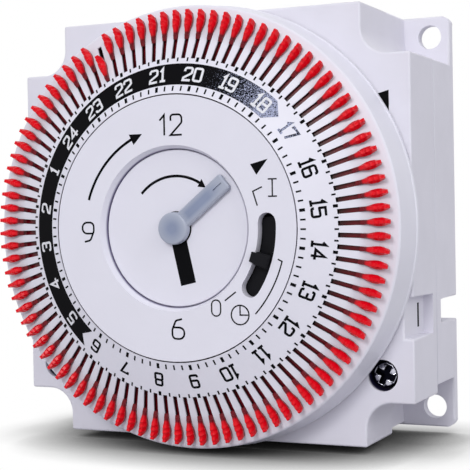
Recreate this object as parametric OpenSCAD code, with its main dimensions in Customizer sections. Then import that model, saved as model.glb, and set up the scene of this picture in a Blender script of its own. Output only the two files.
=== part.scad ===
// Panel-mounted 24-hour segment timer: a square housing, a turning dial with 96 sliding
// tappets, clock hands with their motion work, a stepper drive and a tripped switch.
// Everything is drawn as seen from the front: x to the right, y up and z forward from the
// mounting plane. upright() turns it so that the dial faces -Y and +Z is up.

/* [Housing] */
// Width of the housing and of the back plate
body_w = 66; // [65:0.5:70]
// Height of the housing and of the back plate
body_h = 66; // [65:0.5:70]
// Depth of the rear base, from the mounting plane to the joint line
base_depth = 11.5; // [11.5:0.25:14]
// Depth of the front cover, from the joint line to its face
cover_depth = 12; // [12:0.25:14]
// Thickness of the side walls
wall = 1.5; // [1.3:0.1:1.7]
// Thickness of the cover's face
face_wall = 1.6; // [1.4:0.1:2]
// Thickness of the back plate and of its four ears
back_wall = 2; // [1.6:0.1:2.4]
// Width of the corner notches that clear the ears
notch_w = 7.5; // [7:0.1:7.8]
// Height of the two upper notches
notch_top = 7.8; // [7:0.1:8]
// Height of the two lower notches in the cover
notch_low = 6.7; // [6.6:0.1:7]
// Height of the two lower notches in the base
base_notch_low = 8; // [7.6:0.1:8]
// Radius of the notches' inner corners
notch_fillet = 4; // [2:0.5:5]
// Radius of the back plate's corners
ear_corner_r = 1.5; // [1:0.25:2.5]
// Distance between the ear holes, sideways
ear_pitch_x = 59.5; // [59:0.25:60]
// Distance between the ear holes, upwards
ear_pitch_y = 59.5; // [59:0.25:60]
// Diameter of the ear holes
ear_hole_d = 3.8; // [3.2:0.1:4]

/* [Housing screws and latches] */
// Distance of the housing screws from the housing's side
screw_side = 4.9; // [4.8:0.1:5.2]
// Distance of the housing screws from the housing's bottom
screw_up = 10.8; // [10.6:0.1:11.2]
// Diameter of the screw wells
well_d = 4.7; // [4.4:0.1:4.8]
// Depth of the screw wells
well_depth = 2.8; // [2.6:0.1:3.2]
// Diameter of the screw heads
screw_head_d = 4.1; // [3.8:0.1:4.2]
// Thickness of the screw heads
screw_head_h = 1.6; // [1.2:0.1:1.8]
// Diameter of the screw shanks
screw_d = 2.2; // [2:0.1:2.4]
// Height of the middle of the latches above the housing's bottom
latch_up = 19.3; // [19:0.1:20]
// Height of the latch pockets in the cover's sides
latch_h = 6; // [5.5:0.1:6.5]
// Height of the recesses in the base's sides
recess_h = 3.7; // [3.4:0.1:4]
// Distance of the recesses' inner end from the housing's side
recess_in = 4.5; // [4.3:0.1:4.8]

/* [Dial] */
// Radius of the dial at the foot of its skirt
dial_r = 34.1; // [33.9:0.1:34.4]
// Radius of the dial at the rim of its cone
rim_r = 32.9; // [32.8:0.1:33.1]
// Radius of the opening in the dial's front
ring_in_r = 19.9; // [19.8:0.05:20]
// Depth of the dial, from its front edge to the foot of its skirt
dial_depth = 11.7; // [11.7:0.1:12.5]
// How far the cone falls back from its inner edge to its rim
cone_drop = 4.9; // [4.6:0.1:5]
// Thickness of the cone
cone_wall = 1.4; // [1.2:0.1:1.5]
// Thickness of the skirt
skirt_wall = 1.1; // [0.9:0.1:1.2]
// Gap between the dial and the housing's face
dial_gap = 0.3; // [0.2:0.05:0.5]
// Number of tappets round the dial, one for each quarter of an hour
tappet_count = 96; // [96:24:96]
// Radius at which the slots begin
slot_in_r = 25.2; // [25:0.1:25.4]
// Width of the slots
slot_w = 0.7; // [0.66:0.02:0.74]
// Direction of the dial's 24-hour mark, counter-clockwise from the right
midnight_angle = 141.6; // [141:0.1:142]

/* [Tappets] */
// Length of a tappet's head along the cone
head_len = 3.6; // [3.4:0.1:4]
// Width of a tappet's head
head_w = 1.25; // [1.1:0.05:1.3]
// Height of a tappet's head above the cone
head_h = 1.85; // [1.6:0.05:2]
// Thickness of a tappet's neck in its slot
neck_w = 0.6; // [0.56:0.02:0.62]
// Thickness of a tappet's foot, which cannot leave through the slot
foot_w = 0.9; // [0.84:0.02:0.96]
// How far a tappet slides
tappet_travel = 3; // [2.8:0.1:3]

/* [Centre face] */
// Radius of the fixed centre face
face_r = 19.7; // [19.65:0.05:19.8]
// Thickness of the centre face
face_disc_t = 1.5; // [1.4:0.1:1.6]
// Radius of the round opening for the hour disc
recess_r = 11.75; // [11.7:0.05:12]
// How deep the hour disc lies below the centre face
recess_depth = 1.2; // [1.1:0.1:1.3]
// Width of the bevel round the opening
bevel_w = 0.55; // [0.4:0.05:0.7]
// Radius of the middle of the override slot
override_r = 15.15; // [15.1:0.05:15.2]
// Width of the override slot
override_slot_w = 2.8; // [2.6:0.1:2.9]
// Direction of the override lever when it stands on automatic
override_rest = -18.1; // [-18.5:0.1:-17.5]
// How far the override lever turns up, to permanently on
override_up = 17; // [15:0.5:17]
// How far the override lever turns down, to permanently off
override_down = 14; // [12:0.5:14]
// How far the override slot runs past the lever's two ends
override_spare = 3; // [2.8:0.1:4]

/* [Hands] */
// Radius of the minute hand's hub
hand_hub_r = 2.4; // [2.3:0.1:2.6]
// Length of the minute hand from the dial's axis
hand_len = 10.9; // [10.5:0.1:11]
// Width of the minute hand's blade
hand_w = 2.6; // [2.4:0.1:3]
// Direction of the minute hand at rest
hand_angle = 39; // [38:0.5:42]

/* [Wheels] */
// Tooth module of the motion work and of the dial drive
motion_module = 0.4; // [0.39:0.01:0.4]
// Tooth module of the going train
going_module = 0.3; // [0.29:0.01:0.3]
// Teeth of the cannon pinion
cannon_teeth = 10; // [10:1:10]
// Teeth of the motion wheel and of the drive wheel
motion_teeth = 30; // [30:1:30]
// Teeth of the motion wheel's pinion
motion_pinion_teeth = 8; // [8:1:8]
// Teeth of the hour wheel
hour_teeth = 32; // [32:1:32]
// Teeth of the drive pinion
drive_teeth = 14; // [14:1:14]
// Teeth inside the dial's ring gear
ring_teeth = 112; // [112:1:112]
// Teeth of the pinions of the going train
leaf_count = 8; // [8:1:8]
// Teeth of the clutch wheel
clutch_teeth = 48; // [48:1:48]
// Teeth of the third wheel
third_teeth = 40; // [40:1:40]
// Teeth of the second wheel
second_teeth = 32; // [32:1:32]
// Thickness of a wheel
wheel_t = 1; // [0.9:0.05:1]
// Free height between two levels of wheels
level_gap = 0.4; // [0.3:0.05:0.4]
// Radius of the fixed pins on which the wheels turn
pin_r = 0.6; // [0.5:0.05:0.65]
// Radius of the minute arbor
arbor_r = 1; // [0.9:0.05:1.05]
// Running clearance of turning pieces, radial
running = 0.05; // [0.03:0.01:0.07]

/* [Terminals] */
// Distance between two blade terminals
terminal_pitch = 9.6; // [9.4:0.1:9.7]
// Width of a blade terminal
blade_w = 6.3; // [6:0.1:6.4]
// Thickness of a blade terminal
blade_t = 0.8; // [0.7:0.05:0.85]
// Depth of the chambers round the terminals
chamber_depth = 9; // [8.5:0.1:9]
// Height of the terminals' middle above the housing's bottom
terminal_up = 9; // [8.8:0.1:9.2]

/* [Hidden] */
$fn = 64;
over = 1; // how far a cut runs past the surface that it opens
seat = 0.01; // clearance of two pieces that are pressed together
slip = 0.1; // clearance of pieces that are slid together by hand
end_step = 0.04; // step where a round end meets a curved bar

// ---- depths ----
face_z = base_depth + cover_depth;
ceiling_z = face_z - face_wall;
dial_low_z = face_z + dial_gap;
print_z = dial_low_z + dial_depth;
turret_top = print_z - face_disc_t;
disc_top_z = print_z - recess_depth;
override_room = 2.2;
function level_z(n) = ceiling_z - override_room + level_gap - n * (wheel_t + level_gap);
plate_t = 1.2;
plate_front = level_z(5) - level_gap;
plate_back = plate_front - plate_t;
chamber_floor = 1.5;
floor_z = chamber_depth + chamber_floor;

// ---- housing ----
half_w = body_w / 2;
half_h = body_h / 2;
lip_h = 1.5;
lip_t = 1;
lip_root = 1.2;
screw_x = half_w - screw_side;
screw_y = screw_up - half_h;
well_floor = face_z - well_depth;
well_wall = 1.2;
base_boss_r = 2.9;
base_boss_depth = 8;
latch_y = latch_up - half_h;
latch_pocket_z = base_depth + 2;
latch_slit_h = recess_h;
latch_groove_z = [base_depth + 1.6, base_depth + 3];
latch_groove_x = half_w - wall - 0.6;
release_z = [base_depth + 4.8, base_depth + 5.2];
pad_t = 1.5;
recess_top = base_depth - 2.2;
tongue_t = 1.4;
terminal_y = terminal_up - half_h;
chamber_w = terminal_pitch - 1.2;
chamber_h = 11;

// ---- dial and turret ----
turret_r = ring_in_r - 0.5;
turret_wall = 1.5;
hub_bore = turret_r + running;
hub_wall = 1.75;
hub_out_r = hub_bore + hub_wall;
cone_angle = atan(cone_drop / (rim_r - ring_in_r));
rim_z = print_z - cone_drop;
rim_round = 0.8;
step = 360 / tappet_count;
first_slot = midnight_angle + step / 2;
slot_end_gap = 0.2;
slot_in_s = (slot_in_r - ring_in_r) / cos(cone_angle);
rim_s = (rim_r - ring_in_r) / cos(cone_angle);
head_out_s = rim_s - 0.9;
head_in_s = head_out_s - head_len;
neck_out_s = head_out_s - 0.7;
skin_t = 0.5;
rib_in_s = slot_in_s + 0.3;
groove_in_s = rib_in_s - tappet_travel - slot_end_gap;
neck_in_s = slot_in_s + slot_end_gap + tappet_travel;
slot_out_s = neck_out_s + slot_end_gap;
foot_h = 1.1;
foot_top_n = -cone_wall - slip;
head_lift = 0.12;
tail_w = 1.2;
skirt_in = dial_r - skirt_wall;
inner_rim = cone_point(rim_s - skirt_wall, -cone_wall);
tail_gap = 0.38;
tail_r = min(inner_rim.x, skirt_in) - tail_gap - tail_w;
tail_low_z = dial_low_z + 1;
pushed_tappet = 89;
single_tappets = 6;

// ---- wheel train ----
hour_tube_r = arbor_r + running + 0.85;
boss_bore = hour_tube_r + running;
boss_r = boss_bore + 1.45;
boss_drop = 5.5;
boss_top = print_z - boss_drop;
motion_dist = (cannon_teeth + motion_teeth) / 2 * motion_module;
drive_dist = motion_teeth * motion_module;
ring_dist = (ring_teeth - drive_teeth) / 2 * motion_module;
drive_angle = 200;
function triangle_angle(side_a, side_b, opposite) =
    acos((side_a * side_a + side_b * side_b - opposite * opposite) / (2 * side_a * side_b));
motion_angle = drive_angle - triangle_angle(motion_dist, ring_dist, drive_dist);
function polar(r, a) = [r * cos(a), r * sin(a)];
motion_at = polar(motion_dist, motion_angle);
drive_at = polar(ring_dist, drive_angle);
drive_dir = atan2(drive_at.y - motion_at.y, drive_at.x - motion_at.x);
third_dist = (clutch_teeth + leaf_count) / 2 * going_module;
second_dist = (third_teeth + leaf_count) / 2 * going_module;
rotor_dist = (second_teeth + leaf_count) / 2 * going_module;
third_dir = 120;
second_dir = 170;
rotor_dir = 150;
third_at = polar(third_dist, third_dir);
second_at = third_at + polar(second_dist, second_dir);
rotor_at = second_at + polar(rotor_dist, rotor_dir);
pin_socket = 0.8;
drive_arbor_r = pin_r + 0.3;
pinion_low = dial_low_z + 0.6;
pinion_h = 4;
ring_low = dial_low_z + 0.4;
ring_h = pinion_h + 0.8;
ring_rim = 1.5;
flange_t = 1.2;
hub_low = ring_low + ring_h;

// Tooth proportions, in modules
backlash = 0.15;
wheel_head = 0.65;
leaf_head = 0.85;
tooth_foot = 1.1;
pressure = 20;

// ---- trip gear and switch ----
marker_angle = 33;
finger_r = tail_r - 1.8;
pivot_reach = 12;
lever_swing = 8.1;
finger_at = polar(finger_r, marker_angle);
pivot_at = finger_at + polar(pivot_reach, marker_angle + 90);
arm_dir = marker_angle - 90;
arm_w = 2;
lever_t = 1.6;
lever_z = ceiling_z - 6.1;
trip_boss_r = 2;
tail_arm = 7.4;
tail_pad_r = 1.2;
override_t = 1.2;
override_z = ceiling_z - 0.5 - override_t;
case_x = [9, 19.4];
case_y = [-2, 17];
case_z = [ceiling_z - 8.5, ceiling_z - 2.1];
case_wall = 1;
lid_t = 0.8;
switch_mid_z = (case_z[0] + case_z[1]) / 2;
plunger_r = 0.9;
plunger_y = case_y[1] - case_wall - plunger_r - 0.3;
blade_x = 16.2;
contact_y = plunger_y - 2.8;
strip_h = 3;
strip_z = [switch_mid_z - strip_h / 2, switch_mid_z + strip_h / 2];
post_x = 10.9;
post_ys = [1, 13.5];

// ---- board and coil ----
board_t = 1.6;
board_z = back_wall + 1.5;
board_top = board_z + board_t;
stator_t = 1;
stator_z = plate_back - 3.5;
coil_z = stator_z + stator_t / 2;
coil_r = 2.5;

// ============================ helpers ============================

module upright() { rotate([90, 0, 0]) children(); }

module slab(z, h) { translate([0, 0, z]) linear_extrude(h) children(); }

module rod(r, z, h, at = [0, 0]) { translate([at.x, at.y, z]) cylinder(r = r, h = h); }

module tube(r_out, r_in, z, h, at = [0, 0]) {
    difference() {
        rod(r_out, z, h, at);
        rod(r_in, z - over, h + 2 * over, at);
    }
}

module box(x, y, z) {
    translate([x[0], y[0], z[0]]) cube([x[1] - x[0], y[1] - y[0], z[1] - z[0]]);
}

module both_sides() {
    children();
    mirror([1, 0, 0]) children();
}

// Ring sector between two radii and two angles, with round ends if wanted
module arc_bar(r_mid, w, from, to, z, h, round_ends = true) {
    translate([0, 0, z]) rotate([0, 0, from]) rotate_extrude(angle = to - from)
        translate([r_mid - w / 2, 0]) square([w, h]);
    if (round_ends) for (a = [from, to]) rod(w / 2 - end_step, z, h, polar(r_mid, a));
}

// ============================ teeth ============================

function involute(a) = tan(a) * 180 / PI - a;

// Half the angle of a tooth at radius r
function tooth_half(teeth, m, r) =
    let (pitch_r = teeth * m / 2, base_r = pitch_r * cos(pressure))
    let (at_pitch = (PI / 2 - backlash) * m / 2 / pitch_r * 180 / PI)
    at_pitch + involute(pressure) - involute(acos(base_r / max(r, base_r)));

function flank(teeth, m, head) =
    let (pitch_r = teeth * m / 2, base_r = pitch_r * cos(pressure))
    teeth > 24 ? [pitch_r - tooth_foot * m, pitch_r, pitch_r + head * m]
        : [pitch_r - tooth_foot * m, max(base_r, pitch_r - tooth_foot * m + m / 100),
            pitch_r + head * m * 0.4, pitch_r + head * m];

function toothed(teeth, m, head, phase) = [
    for (i = [0:teeth - 1], k = [-1, 1])
        let (radii = flank(teeth, m, head), n = len(radii))
        for (j = [0:n - 1])
            let (r = radii[k < 0 ? j : n - 1 - j])
            polar(r, phase + i * 360 / teeth + k * tooth_half(teeth, m, r))];

function head_of(teeth) = teeth > 24 ? wheel_head : leaf_head;

// Phase that meshes a gear with a driver: dir is the direction from the driver to the gear
function meshed(teeth, driver_teeth, driver_phase, dir) =
    let (turns = (dir - driver_phase) * driver_teeth / 360)
    dir + 180 + 360 / teeth * (turns - floor(turns) + 0.5);

module gear(teeth, m, phase, z, h, at, bore) {
    difference() {
        translate([at.x, at.y, z]) linear_extrude(h)
            polygon(toothed(teeth, m, head_of(teeth), phase));
        rod(bore, z - over, h + 2 * over, at);
    }
}

cannon_phase = 0;
motion_phase = meshed(motion_teeth, cannon_teeth, cannon_phase, motion_angle);
drive_phase = meshed(motion_teeth, motion_teeth, motion_phase, drive_dir);
motion_pinion_phase = 0;
hour_phase = meshed(hour_teeth, motion_pinion_teeth, motion_pinion_phase, motion_angle + 180);
rotor_phase = 0;
second_phase = meshed(second_teeth, leaf_count, rotor_phase, rotor_dir + 180);
third_phase = meshed(third_teeth, leaf_count, 0, second_dir + 180);
clutch_phase = meshed(clutch_teeth, leaf_count, 0, third_dir + 180);

// ============================ housing ============================

module corner_cut(w, h, r) {
    difference() {
        square([w + over, h + over]);
        difference() {
            square(r);
            translate([r, r]) circle(r);
        }
    }
}

// Outline of the housing, inset by a wall, with its four notches
module outline(inset, low) {
    cut_w = notch_w + inset;
    cut_r = notch_fillet + inset;
    difference() {
        square([body_w - 2 * inset, body_h - 2 * inset], center = true);
        both_sides() {
            translate([half_w - cut_w, half_h - notch_top - inset])
                corner_cut(cut_w, notch_top + inset, cut_r);
            translate([half_w - cut_w, low + inset - half_h]) mirror([0, 1, 0])
                corner_cut(cut_w, low + inset, cut_r);
        }
    }
}

module back_plate() {
    slab(0, back_wall) difference() {
        square([body_w, body_h], center = true);
        for (sx = [0, 1], sy = [0, 1]) mirror([sx, 0]) mirror([0, sy])
            translate([half_w - ear_corner_r, half_h - ear_corner_r]) difference() {
                square(ear_corner_r + over);
                circle(ear_corner_r);
            }
    }
}

module rear_base() color("whitesmoke") upright() {
    difference() {
        union() {
            back_plate();
            difference() {
                slab(back_wall, base_depth - back_wall) outline(0, base_notch_low);
                slab(back_wall, base_depth) outline(wall, base_notch_low);
            }
            difference() {
                union() {
                    slab(base_depth - lip_root, lip_root) outline(wall / 2, base_notch_low);
                    slab(base_depth - lip_root, lip_root + lip_h) outline(wall + slip, base_notch_low);
                }
                slab(0, base_depth + lip_h + over) outline(wall + slip + lip_t, base_notch_low);
                both_sides() {
                    rod(well_d / 2 + well_wall + slip, base_depth, lip_h + over, [screw_x, screw_y]);
                    box([half_w - wall - pad_t - slip, half_w],
                        [latch_y - latch_h / 2 - wall - slip, latch_y + latch_h / 2 + wall + slip],
                        [base_depth, base_depth + lip_h + over]);
                }
            }
            terminal_block();
            both_sides() intersection() {
                rod(base_boss_r, 0, base_depth, [screw_x, screw_y]);
                slab(0, base_depth) outline(0, base_notch_low);
            }
            both_sides() recess_walls();
            board_posts();
            switch_posts();
            rotor_post();
        }
        for (sx = [-1, 1], sy = [-1, 1])
            rod(ear_hole_d / 2, -over, back_wall + 2 * over, [sx * ear_pitch_x / 2, sy * ear_pitch_y / 2]);
        for (i = [-2:2]) terminal_chamber(i * terminal_pitch);
        both_sides() {
            rod(screw_d / 2 + seat, base_depth - base_boss_depth, base_boss_depth + over,
                [screw_x, screw_y]);
            box([half_w - recess_in, half_w + over],
                [latch_y - recess_h / 2, latch_y + recess_h / 2], [-over, recess_top]);
        }
        rod(pin_r + running, board_top, 2, rotor_at);
    }
}

module terminal_block() {
    block_half = 2 * terminal_pitch + chamber_w / 2 + 1.2;
    box([-block_half, block_half], [-half_h + wall / 2, terminal_y + chamber_h / 2 + 1.2], [0, floor_z]);
}

module terminal_chamber(x) {
    box([x - chamber_w / 2, x + chamber_w / 2], [terminal_y - chamber_h / 2, terminal_y + chamber_h / 2],
        [-over, chamber_depth]);
    box([x - blade_t / 2 - seat, x + blade_t / 2 + seat],
        [terminal_y - blade_w / 2 - seat, terminal_y + blade_w / 2 + seat], [0, floor_z + over]);
}

// Walls that close the side recess, and the latch tongue that stands on them
module recess_walls() {
    inner = half_w - recess_in - wall;
    box([inner, half_w - wall / 2], [latch_y - recess_h / 2 - wall, latch_y + recess_h / 2 + wall],
        [0, recess_top + wall]);
    tongue_x = half_w - wall - pad_t - 0.2;
    box([tongue_x - tongue_t, tongue_x], [latch_y - recess_h / 2 + 0.2, latch_y + recess_h / 2 - 0.2],
        [recess_top, release_z[1] + 0.5]);
    box([tongue_x - 0.2, latch_groove_x - 0.2],
        [latch_y - recess_h / 2 + 0.2, latch_y + recess_h / 2 - 0.2],
        [latch_groove_z[0] + 0.2, latch_groove_z[1] - 0.2]);
}

board_x = [-28.5, 8];
board_y = [-9.5, 22];
board_post_xs = [board_x[0] + 3, board_x[1] - 3];
board_post_ys = [board_y[0] + 3, board_y[1] - 3];
board_peg_r = 0.8;

module board_posts() {
    for (x = board_post_xs, y = board_post_ys) {
        rod(1.8, 0, board_z, [x, y]);
        rod(board_peg_r, 0, board_top + 0.8, [x, y]);
    }
}

switch_post_r = 1.7;
switch_peg_r = 0.95;

module switch_posts() {
    for (y = post_ys) {
        rod(switch_post_r, 0, case_z[0], [post_x, y]);
        rod(switch_peg_r, 0, case_z[1] - 0.5, [post_x, y]);
    }
}

rotor_post_r = 1.6;
rotor_low = board_top + 0.6;

module rotor_post() { rod(rotor_post_r, 0, board_top + 1.6, rotor_at); }

tail_end = pivot_at - polar(tail_arm, marker_angle);
spring_turns = 6;
spring_r = 0.65;
spring_len = 3.8;
spring_at = [tail_end.x - 0.55, tail_end.y + tail_pad_r + 0.12, override_z + override_t / 2];
spring_stop_y = spring_at.y + spring_len + 0.05;
finger_w = 1.5;
finger_t = 1.2;

module front_cover() color("whitesmoke") upright() {
    difference() {
        union() {
            difference() {
                slab(base_depth, cover_depth) outline(0, notch_low);
                slab(base_depth - over, cover_depth - face_wall + over) outline(wall, notch_low);
            }
            intersection() {
                both_sides() rod(well_d / 2 + well_wall, base_depth, cover_depth, [screw_x, screw_y]);
                slab(base_depth, cover_depth) outline(0, notch_low);
            }
            both_sides() box([half_w - wall - pad_t, half_w - wall / 2],
                [latch_y - latch_h / 2 - wall, latch_y + latch_h / 2 + wall], [base_depth, face_z]);
            rod(turret_r, face_z - face_wall, turret_top - face_z + face_wall);
            rod(boss_r, level_z(1) + wheel_t + 0.2, face_z - level_z(1) - wheel_t);
            for (at = plate_boss_ats) rod(plate_boss_r, plate_front, ceiling_z - plate_front + over / 2, at);
            for (at = pin_ats) rod(pin_r + 0.9, ceiling_z - pin_socket, pin_socket + over / 2, at);
            spring_stop();
        }
        difference() {
            rod(turret_r - turret_wall, face_z, turret_top);
            rod(boss_r, face_z - over, boss_top - face_z + over);
            rod(drive_arbor_r + 1.2, face_z - over, pinion_low - face_z - 0.2 + over, drive_at);
        }
        rod(boss_bore, base_depth, print_z);
        drive_window();
        rod(drive_arbor_r + running, base_depth, cover_depth + 2, drive_at);
        for (at = pin_ats) rod(pin_r + seat, base_depth, ceiling_z - base_depth, at);
        rod(pin_r + running, base_depth, ceiling_z - base_depth + 0.6, rotor_at);
        for (at = plate_boss_ats) rod(plate_screw_r + seat, base_depth, plate_front + 5 - base_depth, at);
        rod(pin_r + 0.2 + seat, base_depth, ceiling_z - base_depth + 0.8, pivot_at);
        arc_bar(override_r, override_slot_w + 0.4, override_rest - override_down - 1,
            override_rest + override_up + 1, ceiling_z - over, face_wall + 2 * over);
        for (a = [-override_down, override_up]) rotate([0, 0, a])
            override_post(slip * 2, ceiling_z - over, face_z + over);
        finger_window();
        both_sides() {
            rod(well_d / 2, well_floor, well_depth + over, [screw_x, screw_y]);
            rod(screw_d / 2 + slip, base_depth - over, cover_depth, [screw_x, screw_y]);
            box([half_w - wall, half_w + over], [latch_y - latch_h / 2, latch_y + latch_h / 2],
                [latch_pocket_z, face_z + over]);
            box([half_w - wall - pad_t - over, latch_groove_x],
                [latch_y - latch_slit_h / 2, latch_y + latch_slit_h / 2], latch_groove_z);
            box([half_w - wall - pad_t - over, half_w],
                [latch_y - latch_slit_h / 2, latch_y + latch_slit_h / 2], release_z);
        }
    }
}

pin_ats = [motion_at, third_at, second_at];
plate_boss_ats = [[-25.5, 4], [4, -11], [-8, 18]];
plate_boss_r = 2.2;
plate_screw_r = 0.9;

// Block that the trip lever's spring bears on, with the pin that holds the coil
module spring_stop() {
    box([spring_at.x - 1.2, spring_at.x + 1.2], [spring_stop_y, spring_stop_y + 1.4],
        [override_z - 0.5, ceiling_z + over / 2]);
    translate([spring_at.x, spring_stop_y + 0.5, spring_at.z]) rotate([90, 0, 0]) cylinder(r = 0.3, h = 1.7);
}

// Opening of the turret's wall in which the drive pinion meets the ring gear
module drive_window() {
    clear_r = drive_teeth * motion_module / 2 + leaf_head * motion_module + 0.4;
    intersection() {
        rod(clear_r, pinion_low - 0.2, pinion_h + 0.7, drive_at);
        rod(turret_r + over, 0, print_z);
    }
}

module finger_window() {
    rotate([0, 0, marker_angle])
        box([finger_r - finger_t / 2 - 2.2, finger_r + finger_t / 2 + 0.3],
            [-finger_w / 2 - 0.6, finger_w / 2 + 0.6], [ceiling_z - over, face_z + over]);
}

module centre_face() color("whitesmoke") upright() {
    spigot_r = turret_r - turret_wall - slip / 2;
    slot_from = override_rest - override_down - override_spare;
    slot_to = override_rest + override_up + override_spare + 1;
    difference() {
        union() {
            rod(face_r, turret_top, face_disc_t);
            tube(spigot_r, spigot_r - 0.8, turret_top - 2, 2 + face_disc_t / 2);
        }
        rod(recess_r, turret_top - over, face_disc_t + 2 * over);
        translate([0, 0, print_z - recess_depth])
            cylinder(r1 = recess_r, r2 = recess_r + bevel_w, h = recess_depth + seat);
        arc_bar(override_r, override_slot_w, slot_from, slot_to, turret_top - 3, face_disc_t + 3 + over);
    }
}

module cover_screws() color("dimgray") upright() both_sides() {
    cross_w = 0.7;
    difference() {
        union() {
            rod(screw_head_d / 2, well_floor, screw_head_h, [screw_x, screw_y]);
            rod(screw_d / 2, base_depth - base_boss_depth + 0.5, well_floor - base_depth + base_boss_depth,
                [screw_x, screw_y]);
        }
        translate([screw_x, screw_y, well_floor + screw_head_h - 0.8]) for (a = [20, 110])
            rotate([0, 0, a]) translate([-1.3, -cross_w / 2, 0]) cube([2.6, cross_w, over + 0.8]);
    }
}

module movement_plate() color("lightgray") upright() {
    difference() {
        union() {
            slab(plate_back, plate_t)
                polygon([[-28, -8], [-24, -14], [7, -14], [7, 8], [-4, 21], [-22, 21], [-28, 15]]);
            for (at = stator_post_ats) rod(1.5, stator_z + stator_t, plate_back - stator_z - stator_t, at);
            for (at = stator_post_ats) rod(0.8, stator_z - 0.4, plate_back - stator_z, at);
        }
        for (at = pin_ats) rod(pin_r + seat, plate_back - over, plate_t + 2 * over, at);
        rod(arbor_r + running, plate_back - over, plate_t + 2 * over);
        rod(drive_arbor_r + running, plate_back - over, plate_t + 2 * over, drive_at);
        rod(pin_r + running, plate_back - over, plate_t + 2 * over, rotor_at);
        for (at = plate_boss_ats) rod(plate_screw_r + slip, plate_back - over, plate_t + 2 * over, at);
    }
}

module plate_screws() color("silver") upright() for (at = plate_boss_ats) {
    rod(1.7, plate_back - 0.9, 0.9, at);
    rod(plate_screw_r, plate_back - 0.5, plate_t + 5, at);
}

// ============================ dial ============================

// Puts a piece on the cone: x outwards along it, z out of it
module on_cone(angle) {
    rotate([0, 0, angle]) translate([ring_in_r, 0, print_z]) rotate([0, cone_angle, 0]) children();
}

function cone_point(s, n) =
    [ring_in_r + s * cos(cone_angle) + n * sin(cone_angle),
     print_z - s * sin(cone_angle) + n * cos(cone_angle)];

function slope_point(r, z) =
    [(r - ring_in_r) * cos(cone_angle) - (z - print_z) * sin(cone_angle),
     (r - ring_in_r) * sin(cone_angle) + (z - print_z) * cos(cone_angle)];

module dial_drum() color("whitesmoke") upright() {
    shoulder_z = turret_top - slip;
    rim_top = [for (a = [90 - cone_angle / 2:-15:20])
        [rim_r + rim_round * cos(a) * 0.8, rim_z - rim_round + rim_round * sin(a)]];
    difference() {
        rotate_extrude($fn = 192) polygon(concat(
            [[hub_bore, hub_low], [hub_bore, shoulder_z], [ring_in_r, shoulder_z], [ring_in_r, print_z],
             cone_point(rim_s, 0)],
            rim_top,
            [[dial_r - 0.15, dial_low_z + 0.9], [dial_r, dial_low_z + 0.7], [dial_r, dial_low_z],
             [skirt_in, dial_low_z], [inner_rim.x, inner_rim.y],
             cone_point((hub_out_r - ring_in_r) / cos(cone_angle) + 1, -cone_wall),
             [hub_out_r, cone_point((hub_out_r - ring_in_r) / cos(cone_angle) + 1, -cone_wall).y],
             [hub_out_r, hub_low]]));
        for (i = [0:tappet_count - 1]) on_cone(first_slot + i * step)
            drum_slot();
    }
}

// The open slot, and the groove behind the print into which a tappet's rib slides
module drum_slot() {
    box([slot_in_s, slot_out_s], [-slot_w / 2, slot_w / 2], [-cone_wall - over, over]);
    box([groove_in_s, slot_in_s + over], [-slot_w / 2, slot_w / 2], [-cone_wall - over, -skin_t]);
}

module dial_ring_gear() color("lightgray") upright() {
    root_r = ring_teeth * motion_module / 2 + tooth_foot * motion_module + 0.02;
    difference() {
        rod(root_r + ring_rim, ring_low, ring_h + flange_t);
        translate([0, 0, ring_low - over]) linear_extrude(ring_h + over)
            polygon(ring_space(drive_angle + 180 / ring_teeth));
        rod(hub_out_r + seat, ring_low, ring_h + flange_t + over);
    }
}

// Outline of the hole inside the ring gear: gaps as wide as the pinion's teeth plus the play
function ring_space(phase) =
    let (pitch_r = ring_teeth * motion_module / 2, gap = (PI / 2 + backlash) * motion_module / 2)
    let (tip_r = pitch_r - wheel_head * motion_module, root_r = pitch_r + tooth_foot * motion_module)
    [for (i = [0:ring_teeth - 1], k = [-1, 1], j = [0, 1])
        let (outer = (k < 0) == (j == 1))
        let (r = outer ? root_r : tip_r)
        let (half = (gap + (pitch_r - r) * tan(pressure)) * 180 / PI / pitch_r)
        polar(r, phase + (i + 0.5) * 360 / ring_teeth + k * half)];

// One tappet in its outer position, on the cone at x = 0 to the right
module tappet() {
    point_w = neck_w - 0.1;
    head_plan = [[head_in_s, -point_w / 2], [head_in_s + head_len * 0.6, -head_w / 2],
        [head_out_s - head_len * 0.2, -head_w / 2], [head_out_s, -head_w / 4],
        [head_out_s, head_w / 4], [head_out_s - head_len * 0.2, head_w / 2],
        [head_in_s + head_len * 0.6, head_w / 2], [head_in_s, point_w / 2]];
    head_side = [[head_in_s, head_lift], [head_out_s, head_lift], [head_out_s, head_h * 0.5],
        [head_out_s - 0.45, head_h], [head_out_s - 1, head_h], [head_in_s, head_lift + 0.4]];
    foot_low = foot_top_n - foot_h;
    tail_out = slope_point(tail_r + tail_w, tail_low_z);
    tail_in = slope_point(tail_r, tail_low_z);
    tail_top_in = slope_point(tail_r, cone_point(rim_s, foot_low).y + 0.6);
    tail_top_out = slope_point(tail_r + tail_w, cone_point(rim_s, foot_low).y + 0.6);
    intersection() {
        side_plate(head_w + over, head_side);
        translate([0, 0, -over]) linear_extrude(head_h + 2 * over) polygon(head_plan);
    }
    side_plate(neck_w, [[rib_in_s, foot_top_n - 0.2], [neck_out_s, foot_top_n - 0.2],
        [neck_out_s, head_lift + 0.3], [head_in_s - 0.05, head_lift + 0.3], [neck_in_s, -skin_t - slip],
        [rib_in_s, -skin_t - slip]]);
    side_plate(foot_w, [[rib_in_s, foot_top_n], [rib_in_s, foot_low], tail_top_in, tail_in,
        tail_out, tail_top_out, [neck_out_s, foot_top_n]]);
}

module side_plate(w, points) { rotate([90, 0, 0]) linear_extrude(w, center = true) polygon(points); }

function is_single(i) = (pushed_tappet - i) >= 0 && (pushed_tappet - i) < single_tappets;

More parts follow.
